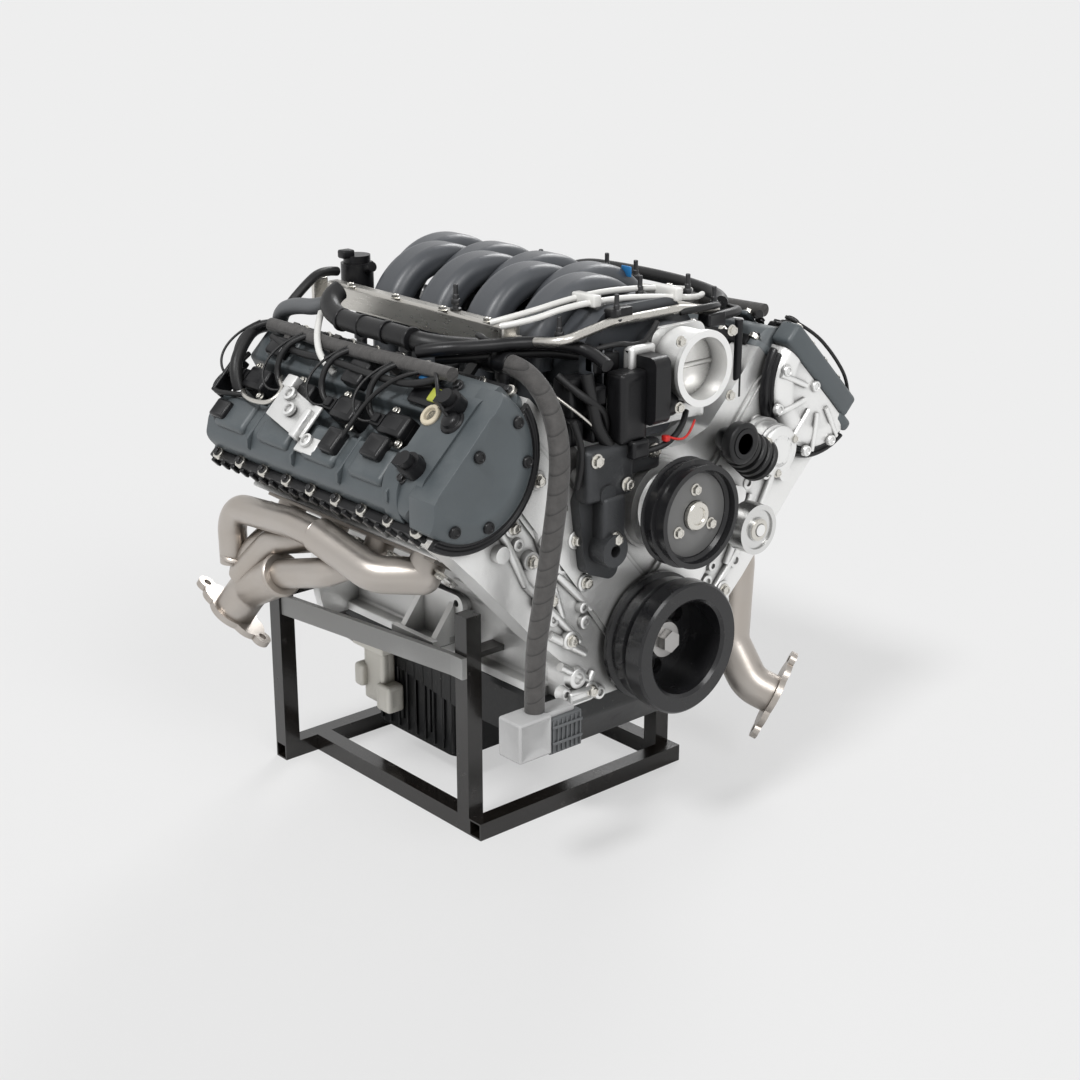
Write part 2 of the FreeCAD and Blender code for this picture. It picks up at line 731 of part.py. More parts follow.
def cam_wheels(side, out):
    """The chain wheel or phaser on a cam's nose, and the small wheel of the cam-to-cam chain."""
    plane = primary_plane_left if side == LEFT else primary_plane_right
    half = chain_width / 2 - 1
    nose = plane - half
    if out < 0:
        wheel = sprocket(out, cam_rise, cam_sprocket_r, cam_teeth, cam_shaft_r, nose, plane + half, 0)
        hub = ring_y(out, cam_rise, 22, cam_shaft_r, nose - 3, secondary_plane + 2)
    else:
        wheel = ring_y(out, cam_rise, phaser_r, cam_shaft_r, nose, plane + half)
        hub = ring_y(out, cam_rise, phaser_r - 8, cam_shaft_r, nose - 3, secondary_plane + 2)
    small = ring_y(out, cam_rise, secondary_sprocket_r, cam_shaft_r, secondary_plane - 2, secondary_plane + 2)
    return place_on_bank(fuse([wheel, hub, small]), side)


def chain_loop(centre_a, r_a, centre_b, r_b, plane):
    """A closed band round two wheels, standing off their teeth by the seat gap."""
    def hull(extra):
        a_r, b_r = r_a + extra, r_b + extra
        line = V(centre_b[0] - centre_a[0], 0, centre_b[1] - centre_a[1])
        along = line.normalize()
        distance = math.hypot(centre_b[0] - centre_a[0], centre_b[1] - centre_a[1])
        tilt = math.asin((b_r - a_r) / distance)
        side = V(-along.z, 0, along.x)
        centres = [V(centre_a[0], plane, centre_a[1]), V(centre_b[0], plane, centre_b[1])]

        def touch(centre, radius, sign):
            return centre + along * (-math.sin(tilt) * radius) + side * (sign * math.cos(tilt) * radius)

        a_up, a_down = touch(centres[0], a_r, 1), touch(centres[0], a_r, -1)
        b_up, b_down = touch(centres[1], b_r, 1), touch(centres[1], b_r, -1)
        edges = [
            Part.LineSegment(a_up, b_up).toShape(),
            Part.Arc(b_up, centres[1] + along * b_r, b_down).toShape(),
            Part.LineSegment(b_down, a_down).toShape(),
            Part.Arc(a_down, centres[0] - along * a_r, a_up).toShape(),
        ]
        face = Part.Face(Part.Wire(edges))
        face.translate(V(0, -chain_width / 2, 0))
        return face.extrude(V(0, chain_width, 0))

    stand_off = tooth_height / 2 + seat_gap
    return hull(stand_off + chain_thickness).cut(hull(stand_off))


def timing_chains():
    loops = []
    for side in SIDES.values():
        plane = primary_plane_left if side == LEFT else primary_plane_right
        cam = bank_point(side, -cam_offset, 0, cam_rise)
        loops.append(chain_loop((0, 0), crank_sprocket_r, (cam.x, cam.z), cam_sprocket_r, plane))
        small = chain_loop((-cam_offset, cam_rise), secondary_sprocket_r - 2, (cam_offset, cam_rise),
                           secondary_sprocket_r - 2, secondary_plane)
        loops.append(place_on_bank(small, side))
    return loops


def head_gaskets():
    made = []
    for side in SIDES.values():
        sheet = box(-78, 78, block_front, head_rear(side), deck_height, head_bottom)
        sheet = cut(sheet, [cylinder(V(0, y, deck_height - 1), Z_AXIS, bore / 2 + 1, 5)
                            for y in cylinder_stations(side)])
        made.append(place_on_bank(sheet, side))
    return made


# ---------------------------------------------------------------- more shape helpers
def shrink(points, distance):
    """The same outline with every side moved inwards."""
    area = sum(points[i - 1][0] * points[i][1] - points[i][0] * points[i - 1][1] for i in range(len(points)))
    sign = 1 if area > 0 else -1
    moved = []
    for i, point in enumerate(points):
        before, after = points[i - 1], points[(i + 1) % len(points)]
        into = V(point[0] - before[0], point[1] - before[1], 0).normalize()
        out = V(after[0] - point[0], after[1] - point[1], 0).normalize()
        left_in = V(-into.y, into.x, 0) * sign
        left_out = V(-out.y, out.x, 0) * sign
        both = (left_in + left_out).normalize()
        reach = distance / max(0.2, both.dot(left_in))
        corner = (max(0.0, point[2] - distance),) if len(point) > 2 else ()
        moved.append((point[0] + both.x * reach, point[1] + both.y * reach) + corner)
    return moved


def plate(points, radius, z0, z1):
    """A solid with that (x, y) outline between two heights."""
    flat = prism([(p[0], -p[1]) + tuple(p[2:]) for p in points], radius, 0, z1 - z0)
    flat.rotate(V(0, 0, 0), X_AXIS, 90)
    flat.translate(V(0, 0, z0))
    return flat


def side_prism(points, radius, x0, x1):
    """A solid with that (y, z) outline between two x planes."""
    low, high = min(x0, x1), max(x0, x1)
    solid = prism(points, radius, 0, high - low)
    solid.rotate(V(0, 0, 0), Z_AXIS, 90)
    solid.translate(V(high, 0, 0))
    return solid


def rectangle(x0, x1, y0, y1):
    return [(x0, y0), (x1, y0), (x1, y1), (x0, y1)]


# ---------------------------------------------------------------- oil pan and lubrication
pan_flange_thickness = 8.0
pan_wall = 3.0
sump_half_width = 108.0
sump_front = -242.0
sump_rear = -52.0
sump_bottom = -250.0
shallow_half_width = 112.0
shallow_bottom = -166.0
shallow_front = -446.0
pan_front = cover_face + 2.0
drain_r = 9.0


def pan_profile(inset):
    """Side view of the pan: shallow at the front under a slanted wall, deep at the rear."""
    top = pan_rail_z if inset else pan_rail_z - pan_flange_thickness / 2
    points = [(block_rear - 12, top), (block_rear - 12, -118, 12), (sump_rear, -140, 8),
              (sump_front, shallow_bottom, 4), (shallow_front, shallow_bottom, 18), (pan_front + 12, -104, 14),
              (pan_front + 12, top)]
    return shrink(points, inset) if inset else points


def oil_pan():
    top = pan_rail_z
    flange = plate(rectangle(-pan_rail_half_width, pan_rail_half_width, pan_front, block_rear), 10,
                   top - pan_flange_thickness, top)
    shallow = side_prism(pan_profile(0), 6, -shallow_half_width, shallow_half_width)
    sump_outline = rectangle(-sump_half_width, sump_half_width, sump_front, sump_rear)
    sump = plate(sump_outline, 20, sump_bottom, -110)
    inner_side = shallow_half_width - pan_wall
    hollow = side_prism([(block_rear - 15, top + 1), (block_rear - 15, -116, 10), (sump_rear, -137, 8),
                         (sump_front, shallow_bottom + pan_wall, 4),
                         (shallow_front + 1, shallow_bottom + pan_wall, 16),
                         (pan_front + 16, -103, 12), (pan_front + 16, top + 1)], 6, -inner_side, inner_side)
    deep = plate(shrink(sump_outline, pan_wall), 17, sump_bottom + pan_wall, -112)
    drain = cylinder(V(0, sump_rear + 6, sump_bottom + 26), -Y_AXIS, drain_r, 14)
    ribs = []
    for side in SIDES.values():
        for i in range(5):
            y = sump_front + 30 + i * (sump_rear - sump_front - 60) / 4
            ribs.append(box(side * sump_half_width - 3, side * sump_half_width + 3, y - 3, y + 3,
                            sump_bottom + 22, -140))
    body = fuse([flange, shallow, sump, drain] + ribs)
    return cut(body, [hollow, deep])


def oil_pump():
    """Ring pump round the crank snout, against the block's front face."""
    body = prism([(-52, -50), (52, -50), (52, 46), (-52, 46)], 40, block_front - 13, block_front)
    foot = box(34, 56, block_front - 13, block_front, -62, -20)
    return cut(fuse([body, foot]), [cylinder_y(0, 0, snout_r + seat_gap, block_front - 20, block_front + 1)])


def oil_pickup():
    x = 45.0
    tube_r = 7.0
    y = block_front - tube_r - 1
    pipe = bent_rod([V(x, y, -62), V(x, y, -98), V(x - 20, sump_front + 8, -136), V(0, -176, -222)], tube_r, 22)
    bell = cylinder(V(0, -164, -236), Z_AXIS, 30, 16)
    return fuse([pipe, bell])


def oil_filter():
    """Spin-on can on the block's left side, below the exhaust."""
    y = -410.0
    z = -31.0
    neck = 22.0
    length = 80.0
    adapter = cylinder(V(skirt_half_width, y, z), X_AXIS, 22, neck)
    can = cylinder(V(skirt_half_width + neck, y, z), X_AXIS, 38, length)
    dome = Part.makeCone(38, 30, 6, V(skirt_half_width + neck + length, y, z), X_AXIS)
    return fuse([adapter, can, dome])


# ---------------------------------------------------------------- front cover
def front_cover_outline():
    half = [(128, pan_rail_z, 2), (130, -20, 30), (188, 34, 40)]
    for out, rise, corner in ((103, 300, 26), (103, rail_rise, 2), (-107, rail_rise, 2), (-107, 262, 18)):
        p = bank_point(LEFT, out, 0, rise)
        half.append((p.x, p.z, corner))
    half.append((66, 246, 10))
    return mirrored(half)


def chain_case_bulge(side, extra, y0, y1):
    cam = bank_point(side, -cam_offset + 8, 0, cam_rise - 18)
    loop = band_outline((0, 0), crank_sprocket_r + extra + 26, (cam.x, cam.z), cam_sprocket_r + extra - 6, y0)
    return loop.extrude(V(0, y1 - y0, 0))


def front_cover():
    points = front_cover_outline()
    body = prism(points, 6, cover_face, block_front)
    pieces = [body]
    for side in SIDES.values():
        pieces.append(chain_case_bulge(side, 2, cover_face - bulge_step, cover_face + 1))
        pieces.append(chain_case_bulge(side, -4, bulge_face, cover_face - bulge_step))
        for out, rise in ((60, 300), (78, 350)):
            p = bank_point(side, out, 0, rise)
            pieces.append(cylinder_y(p.x, p.z, 11, cover_face - 12, cover_face + 1))
    pieces.append(cylinder_y(0, 0, 46, cover_face - 3.5, cover_face + 1))
    pieces.append(cylinder_y(pump_x, pump_z, 62, cover_face - 10, cover_face + 1))
    hollow = prism(shrink(points, front_cover_wall), 4, cover_face + front_cover_wall, block_front + 1)
    tools = [hollow, cylinder_y(0, 0, seal_r + seat_gap, cover_face - 20, block_front + 1)]
    tools.append(box(-118, 118, cover_face + front_cover_wall, block_front + 1, pan_rail_z - 1,
                     pan_rail_z + 30))
    for side in SIDES.values():
        tools.append(place_on_bank(box(-98, 95, cover_face + front_cover_wall, block_front + 1, rail_rise - 30,
                                       rail_rise + 1), side))
    return cut(fuse(pieces), tools)


def band_outline(centre_a, a_r, centre_b, b_r, plane):
    """The face inside a tight band round two circles."""
    distance = math.hypot(centre_b[0] - centre_a[0], centre_b[1] - centre_a[1])
    along = V(centre_b[0] - centre_a[0], 0, centre_b[1] - centre_a[1]).normalize()
    tilt = math.asin((b_r - a_r) / distance)
    side = V(-along.z, 0, along.x)
    a, b = V(centre_a[0], plane, centre_a[1]), V(centre_b[0], plane, centre_b[1])

    def touch(centre, radius, sign):
        return centre + along * (-math.sin(tilt) * radius) + side * (sign * math.cos(tilt) * radius)

    a_up, a_down = touch(a, a_r, 1), touch(a, a_r, -1)
    b_up, b_down = touch(b, b_r, 1), touch(b, b_r, -1)
    return Part.Face(Part.Wire([
        Part.LineSegment(a_up, b_up).toShape(),
        Part.Arc(b_up, b + along * b_r, b_down).toShape(),
        Part.LineSegment(b_down, a_down).toShape(),
        Part.Arc(a_down, a - along * a_r, a_up).toShape(),
    ]))


guide_thickness = 9.0


def chain_guides():
    """A fixed guide and a tensioner blade along the two strands of each bank's chain, on pins in the block."""
    made = []
    for side in SIDES.values():
        plane = primary_plane_left if side == LEFT else primary_plane_right
        cam = bank_point(side, -cam_offset, 0, cam_rise)
        near = tooth_height / 2 + seat_gap + chain_thickness + seat_gap
        distance = math.hypot(cam.x, cam.z)
        along = V(cam.x, 0, cam.z).normalize()
        tilt = math.asin((cam_sprocket_r - crank_sprocket_r) / distance)
        for sign in (1, -1):
            across = V(-along.z, 0, along.x) * sign
            normal = along * (-math.sin(tilt)) + across * math.cos(tilt)
            start = normal * (crank_sprocket_r + near)
            end = cam + normal * (cam_sprocket_r + near)
            run = end - start
            foot, head = start + run * 0.22, start + run * 0.8
            corners = [foot, head, head + normal * guide_thickness, foot + normal * guide_thickness]
            blade = prism([(p.x, p.z) for p in corners], 2, plane - 5, plane + 5)
            pins = []
            for share in (0.12, 0.88):
                p = foot + (head - foot) * share + normal * (guide_thickness / 2)
                pins.append(cylinder_y(p.x, p.z, 4, plane, block_front))
            made.append(fuse([blade] + pins))
    return made


# ---------------------------------------------------------------- cam covers and ignition
def cam_cover(side):
    rear = head_rear(side) + 2
    flange = plate([(-cover_rail_inner, cover_front, 26), (cover_rail_outer, cover_front + 6, 46),
                    (cover_rail_outer, rear, 14), (-cover_rail_inner, rear, 14)], 10, rail_rise,
                   rail_rise + cover_rail_thickness)
    half = cover_trough_half_width
    section = [(-100, rail_rise + 2, 0), (-97, rail_rise + 39, 16), (-70, cover_top_rise, 16),
               (-half - 6, cover_top_rise, 6), (-half, cover_trough_rise, 5),
               (half, cover_trough_rise, 5), (half + 6, cover_top_rise, 6),
               (68, cover_top_rise, 18), (94, rail_rise + 35, 18),
               (97, rail_rise + 2, 0)]
    body = prism(section, 4, cover_front + 5, rear - 6)
    dome_top = cover_top_rise + 6
    dome_section = [(-100, rail_rise + 2, 0), (-97, rail_rise + 41, 24), (-58, dome_top, 24),
                    (56, dome_top, 26), (94, rail_rise + 37, 26), (97, rail_rise + 2, 0)]
    dome = prism(dome_section, 10, cover_front + 5, cylinder_stations(side)[-1] - 42)
    plan = plate([(-100, cover_front + 5, 24), (97, cover_front + 11, 42), (97, rear - 6, 12),
                  (-100, rear - 6, 12)], 10, rail_rise, dome_top + 18)
    roof, trough_roof = cover_top_rise - cover_wall, cover_trough_rise - cover_wall
    inner = [(-100 + cover_wall, rail_rise - 1, 0), (-93, rail_rise + 36, 12), (-68, roof, 12),
             (-half - 10, roof, 4), (-half - 4, trough_roof, 3), (half + 4, trough_roof, 3),
             (half + 10, roof, 4), (66, roof, 14), (90, rail_rise + 32, 14),
             (97 - cover_wall, rail_rise - 1, 0)]
    hollow = prism(inner, 3, cover_front + 11, rear - 12)
    hollow_plan = plate([(-96, cover_front + 11, 10), (93, cover_front + 16, 38), (93, rear - 12, 8),
                         (-96, rear - 12, 8)], 8, rail_rise - 2, dome_top + 18)
    shell = fuse([flange, fuse([body, dome]).common(plan)]).cut(hollow.common(hollow_plan))
    well_height = cover_trough_rise - rail_rise - 1
    wells = [cylinder(V(0, y, rail_rise), Z_AXIS, plug_well_r + plug_well_wall, well_height)
             for y in cylinder_stations(side)]
    openings = [cylinder(V(0, y, rail_rise - 1), Z_AXIS, plug_well_r, 60) for y in cylinder_stations(side)]
    if side == LEFT:
        wells.append(cylinder(V(oil_cap_out, oil_cap_y, cover_top_rise - 6), Z_AXIS, 23, 12))
        openings.append(cylinder(V(oil_cap_out, oil_cap_y, cover_top_rise - 12), Z_AXIS, 15, 30))
    return place_on_bank(cut(fuse([shell] + wells), openings), side)


oil_cap_out = 54.0
oil_cap_y = -300.0


def oil_filler_cap():
    base = cover_top_rise + 6
    skirt = cylinder(V(oil_cap_out, oil_cap_y, base), Z_AXIS, 25, 14)
    grip = box(oil_cap_out - 22, oil_cap_out + 22, oil_cap_y - 5, oil_cap_y + 5, base + 13, base + 22)
    plug = cylinder(V(oil_cap_out, oil_cap_y, base - 10), Z_AXIS, 15 - seat_gap, 11)
    return place_on_bank(fuse([skirt, grip, plug]), LEFT)


def ignition_coils(side):
    """A coil over each plug well: body on the cover, boot down the well to the plug."""
    coils = []
    for y in cylinder_stations(side):
        floor = cover_trough_rise
        body = plate(rectangle(-17, 17, y - 22, y + 26), 8, floor, floor + 17)
        socket = box(-10, 10, y + 20, y + 42, floor, floor + 14)
        boot = cylinder(V(0, y, plug_seat() + 30), Z_AXIS, 10.5, floor - plug_seat() - 29)
        bore_hole = cylinder(V(0, y, plug_seat() + 20), Z_AXIS, 5.8, 30)
        coils.append(place_on_bank(fuse([body, socket, boot]).cut(bore_hole), side))
    return coils


def plug_seat():
    return head_bottom + chamber_depth + 22


def spark_plugs():
    plugs = []
    for side in SIDES.values():
        for y in cylinder_stations(side):
            seat = plug_seat()
            thread = cylinder(V(0, y, head_bottom + chamber_depth - 3), Z_AXIS, 7 - running_clearance,
                              25)
            shell = cylinder(V(0, y, seat), Z_AXIS, 10, 12)
            porcelain = cylinder(V(0, y, seat + 12), Z_AXIS, 5.5, 34)
            plugs.append(place_on_bank(fuse([thread, shell, porcelain]), side))
    return plugs


def cam_solenoids():
    """Two phaser solenoids standing on each cover's front dome."""
    made = []
    for side in SIDES.values():
        for out in (-cam_offset, cam_offset):
            base = V(out, cover_front + 34, 452)
            made.append(place_on_bank(fuse([cylinder(base, Z_AXIS, 15, 16),
                                            cylinder(base + V(0, 0, 15), Z_AXIS, 10, 12),
                                            box(out - 8, out + 8, base.y, base.y + 24, 458, 470)]), side))
    return made


# ---------------------------------------------------------------- intake, throttle and fuel
plenum_front = -488.0
plenum_rear = -50.0


def runner(side, y):
    """One runner: a round tube up from the head's port, then a wide half ring over the top."""
    over = y + side * (bore_spacing / 4 - bank_stagger / 2)
    mouth = bank_point(side, -head_inner, y, intake_port_rise)
    elbow = bank_point(side, -head_inner - 24, y, intake_port_rise)
    knee = V(side * (runner_arc_x + runner_arc_r), over, runner_arc_z)
    lower = bent_rod([mouth, elbow, knee - V(0, 0, 36), knee], runner_r, 40)
    centre = V(side * runner_arc_x, over, runner_arc_z)
    half_y = runner_width / 2
    corners = [(knee.x - runner_r, over - half_y), (knee.x + runner_r, over - half_y),
               (knee.x + runner_r, over + half_y), (knee.x - runner_r, over + half_y)]
    band = plate(corners, runner_corner, runner_arc_z, runner_arc_z + 1).Faces
    section = [face for face in band if abs(face.CenterOfMass.z - runner_arc_z) < 0.01][0]
    arch = section.revolve(centre, V(0, -side, 0), 180)
    return [lower, arch]


def intake_manifold():
    """Arched runners over a plenum, with a rounded hood and the throttle's neck at the front."""
    top = runner_arc_z + 22
    plenum = prism(mirrored([(50, 262, 20), (86, 300, 20), (86, top - 14, 24), (46, top + 6, 26)]), 10,
                   plenum_front, plenum_rear)
    hood = prism(mirrored([(60, 300, 20), (100, 340, 24), (100, 398, 40), (58, 440, 40)]), 10, plenum_front,
                 -418)
    neck = cylinder_y(throttle_x, throttle_z, throttle_bore_r + 9, throttle_front + throttle_length,
                      plenum_front + 4)
    tubes = []
    flanges = []
    for side in SIDES.values():
        stations = cylinder_stations(side)
        for y in stations:
            tubes.extend(runner(side, y))
            tubes.append(injector_boss(side, y))
        flange = box(-head_inner - 9, -head_inner, stations[-1] - 32, stations[0] + 32, intake_port_rise - 24,
                     intake_port_rise + 24)
        flanges.append(place_on_bank(flange, side))
    body = fuse([fuse([plenum, hood, neck]), fuse(tubes)] + flanges)
    cavity = cylinder_y(throttle_x, throttle_z, throttle_bore_r, throttle_front + throttle_length - 1,
                        plenum_front + 60)
    chamber = prism(mirrored([(46, 270, 14), (78, 303, 14), (78, top - 18, 18), (42, top - 2, 20)]), 8,
                    plenum_front + 30, plenum_rear - 8)
    return cut(body, [cavity, chamber])


def injector_boss(side, y):
    x = side * (fuel_rail_x - fuel_rail_width / 2)
    return cylinder(V(x, y, 306), Z_AXIS, 11, injector_foot - 306)


injector_foot = 338.0


def injectors():
    made = []
    for side in SIDES.values():
        for y in cylinder_stations(side):
            x = side * (fuel_rail_x - fuel_rail_width / 2)
            low = cylinder(V(x, y, injector_foot), Z_AXIS, 7.5, 12)
            middle = cylinder(V(x, y, injector_foot + 11), Z_AXIS, 10, 22)
            neck = injector_foot + 32
            top = cylinder(V(x, y, neck), Z_AXIS, 7, fuel_rail_top - fuel_rail_height - neck)
            made.append(fuse([low, middle, top]))
    return made


def fuel_rail(side):
    y0 = cylinder_stations(side)[-1] - 20
    y1 = cylinder_stations(side)[0] + 62
    x0, x1 = sorted((side * fuel_rail_x, side * (fuel_rail_x - fuel_rail_width)))
    low = fuel_rail_top - fuel_rail_height
    section = [(x0, low), (x1, low), (x1, fuel_rail_top), (x0, fuel_rail_top)]
    return prism(section, 5, y0, y1)


def fuel_crossover():
    """Pipe from rail to rail across the front of the manifold."""
    r = 6.0
    x = fuel_rail_x - fuel_rail_width / 2
    z = fuel_rail_top - fuel_rail_height / 2
    right_end = cylinder_stations(RIGHT)[-1] - 20
    left_end = cylinder_stations(LEFT)[-1] - 20
    front = plenum_front - 9
    return bent_rod([V(-x, right_end, z), V(-x, right_end - 24, z), V(-x + 8, front, z + 8),
                     V(-60, front, 424), V(60, front, 424), V(x - 8, front, z + 8),
                     V(x, left_end - 44, z), V(x, left_end, z)], r, 26)


def throttle_body():
    rear = throttle_front + throttle_length
    barrel = cylinder_y(throttle_x, throttle_z, throttle_bore_r + 6, throttle_front, rear)
    lip = cylinder_y(throttle_x, throttle_z, throttle_bore_r + 9, throttle_front, throttle_front + 6)
    base = prism([(throttle_x - 48, throttle_z - 48), (throttle_x + 48, throttle_z - 48),
                  (throttle_x + 48, throttle_z + 48), (throttle_x - 48, throttle_z + 48)], 16, rear - 10, rear)
    shaft_y = throttle_plate_y()
    hub = cylinder(V(throttle_x - 56, shaft_y, throttle_z), X_AXIS, 15, 112)
    body = fuse([barrel, lip, base, hub])
    return cut(body, [cylinder_y(throttle_x, throttle_z, throttle_bore_r, throttle_front - 1, rear + 1),
                      cylinder(V(throttle_x - 60, shaft_y, throttle_z), X_AXIS, 4 + running_clearance, 110)])


def throttle_plate_y():
    return throttle_front + 30


def throttle_plate():
    y = throttle_plate_y()
    disc = cylinder_y(throttle_x, throttle_z, throttle_bore_r - seat_gap, y - 1.2, y + 1.2)
    shaft = cylinder(V(throttle_x - 62, y, throttle_z), X_AXIS, 4, 108)
    return fuse([disc, shaft])


def throttle_motor():
    """Gear and motor housing on the side of the throttle body."""
    side_x = throttle_x - 56
    y = throttle_plate_y()
    case = side_prism([(y - 26, throttle_z - 62), (y + 22, throttle_z - 62), (y + 22, throttle_z + 24),
                       (y - 26, throttle_z + 24)], 12, side_x - 26, side_x)
    can = cylinder(V(side_x - 2, y - 2, throttle_z - 41), X_AXIS, 19, 22)
    tools = [cylinder(V(side_x - 9, y, throttle_z), X_AXIS, 4 + seat_gap, 20)]
    beside_bore = cylinder_y(throttle_x, throttle_z, throttle_bore_r + 9 + seat_gap, y - 60, y + 60)
    return cut(fuse([case, can.cut(beside_bore)]),
               tools)


# ---------------------------------------------------------------- coolant side
pump_shaft_r = 9.0
pump_mount_face = cover_face - 10


def water_pump():
    """Housing bolted to the front cover, with a nose that carries the pulley's bearing."""
    back = cylinder_y(pump_x, pump_z, 58, pump_mount_face - 16, pump_mount_face)
    cone = Part.makeCone(46, 25, 22, V(pump_x, pump_mount_face - 16, pump_z), -Y_AXIS)
    nose_end = pump_pulley_front + pump_pulley_width + 4
    nose = cylinder_y(pump_x, pump_z, 19, nose_end, pump_mount_face - 30)
    body = fuse([back, cone, nose])
    shaft_hole = cylinder_y(pump_x, pump_z, pump_shaft_r + running_clearance, nose_end - 1, pump_mount_face - 6)
    return cut(body, [shaft_hole])


def water_pump_pulley():
    """Two-step cup pulley on the pump's shaft."""
    front = pump_pulley_front
    rear = front + pump_pulley_width
    r = pump_pulley_r
    profile = [(0, front + 8), (17, front + 8), (20, front + 14), (r - 14, front + 14), (r - 10, front + 10),
               (r - 10, front), (r - 3, front), (r - 3, front + 2), (r - 6, front + 3), (r - 6, front + 17),
               (r - 3, front + 18), (r, front + 19), (r, front + 21), (r - 4, front + 23), (r - 4, rear - 3),
               (r, rear - 1), (r, rear), (r - 10, rear), (r - 10, front + 18), (22, front + 18), (22, rear),
               (0, rear)]
    points = [V(pump_x + a, b, pump_z) for a, b in profile]
    cup = Part.Face(Part.makePolygon(points + [points[0]])).revolve(V(pump_x, 0, pump_z), Y_AXIS, 360)
    shaft = cylinder_y(pump_x, pump_z, pump_shaft_r, rear - 1, pump_mount_face - 7)
    holes = [cylinder_y(pump_x + x, pump_z + z, 9, front + 10, front + 22) for x, z in bolt_circle(3, 40, 30)]
    return cut(fuse([cup, shaft]), holes)


idler_front = -588.0
idler_axle_r = 8.0


def idler_bracket():
    rear = bulge_face
    stem = Part.makeCone(24, 17, 42, V(idler_x, rear, idler_z), -Y_AXIS)
    arm = prism([(idler_x - 20, idler_z - 18), (idler_x + 18, idler_z - 20), (idler_x + 46, idler_z + 34),
                 (idler_x + 10, idler_z + 46)], 14, rear - 12, rear)
    axle = cylinder_y(idler_x, idler_z, idler_axle_r, idler_front - 4, rear - 40)
    return fuse([stem, arm, axle])


def idler_pulley():
    ring = ring_y(idler_x, idler_z, idler_r, idler_r - 7, idler_front, idler_front + idler_width)
    hub = ring_y(idler_x, idler_z, 16, idler_axle_r + running_clearance, idler_front, idler_front + idler_width)
    web = ring_y(idler_x, idler_z, idler_r - 6, 15, idler_front + 3, idler_front + idler_width - 3)
    return fuse([ring, hub, web])


thermostat_x = 196.0
thermostat_z = 222.0


def thermostat_housing():
    """Bright round housing on the front cover's left shoulder, where the coolant leaves."""
    rear = bulge_face
    bowl = cylinder_y(thermostat_x, thermostat_z, 36, rear - 34, rear)
    ring = cylinder_y(thermostat_x, thermostat_z, 40, rear - 14, rear - 6)
    cap = Part.makeCone(34, 22, 12, V(thermostat_x, rear - 34, thermostat_z), -Y_AXIS)
    return fuse([bowl, ring, cap])


outlet_mouth = V(110, -574, 252)


def coolant_outlet():
    """Black pipe from the thermostat housing, turning forward to an open mouth."""
    station = bulge_face - 18
    start = V(thermostat_x - 35, station, thermostat_z + 8)
    elbow = V(outlet_mouth.x, station, outlet_mouth.z)
    pipe = bent_rod([start + V(6, 0, -1), elbow, outlet_mouth], 17, 20)
    lip = cylinder(outlet_mouth + V(0, 4, 0), -Y_AXIS, 20, 6)
    near_bowl = cylinder_y(thermostat_x, thermostat_z, 36 + seat_gap, bulge_face - 60, cover_face)
    body = fuse([pipe, lip])
    near_cap = cylinder_y(thermostat_x, thermostat_z, 40 + seat_gap, bulge_face - 14.3, bulge_face - 5.7)
    return cut(body, [cylinder(outlet_mouth - V(0, 3, 0), Y_AXIS, 14, 34), near_bowl, near_cap])


def accessory_bracket():
    """Dark bracket beside the coolant pump that would carry a belt tensioner."""
    rear = cover_face - 7
    base = prism([(-128, 118), (-74, 96), (-70, 236), (-112, 262), (-142, 214)], 14, rear - 16, rear)
    boss = cylinder_y(-104, 150, 21, rear - 44, rear - 10)
    upper = cylinder_y(-108, 222, 13, rear - 34, rear - 10)
    rib = box(-108, -100, rear - 30, rear - 10, 150, 222)
    return cut(fuse([base, boss, upper, rib]), [cylinder_y(-104, 150, 8, rear - 50, rear - 20)])


# ---------------------------------------------------------------- exhaust
def exhaust_flange_plate(side):
    def wall(rise, stand):
        share = (rise - 262) / 56.0
        out = 84 + (head_outer - 84) * share
        return (out + stand * 0.978, rise - stand * 0.2095)
    y0 = cylinder_stations(side)[-1] - 34
    y1 = cylinder_stations(side)[0] + 34
    section = [wall(268, 0), wall(310, 0), wall(310, 9), wall(268, 9)]
    return place_on_bank(prism(section, 0, y0, y1), side)


primary_r = 20.0
front_primary_r = 24.0
collector_r = 29.0
outlet_bore_r = 25.0
outlet_bolt_reach = 57.0       # outlet flange's bolts from its middle
outlet_flange_thickness = 9.0
right_outlet = V(-336, -24, -31)
right_outlet_facing = V(-0.346, 0.452, -0.822).normalize()
right_outlet_lean = V(-0.249, 0.806, 0.537)     # roughly along the flange's two bolts
left_outlet = V(295, -487, -188)
left_outlet_facing = V(0.571, -0.699, -0.431).normalize()
left_outlet_lean = V(-0.533, 0.084, -0.842)


def exhaust_manifold(side, tubes, outlet, facing, lean):
    """Bar flange on the head, bent tubes into a collector, and a two-bolt outlet flange."""
    across = (lean - facing * lean.dot(facing)).normalize()
    pieces = [exhaust_flange_plate(side)] + [bent_rod(points, radius, 46) for points, radius in tubes]
    pieces.append(Part.makeCylinder(outlet_bore_r + 10, outlet_flange_thickness, outlet, -facing))
    bolts = [outlet + across * (s * outlet_bolt_reach) for s in (-1, 1)]
    for bolt in bolts:
        pieces.append(Part.makeCylinder(13, outlet_flange_thickness, bolt, -facing))
        half_way = outlet + (bolt - outlet) * 0.52
        pieces.append(Part.makeCylinder(24, outlet_flange_thickness, half_way, -facing))
    tools = [Part.makeCylinder(outlet_bore_r, 44, outlet + facing, -facing)]
    tools += [Part.makeCylinder(5.5, 40, bolt + facing, -facing) for bolt in bolts]
    return cut(fuse(pieces), tools)


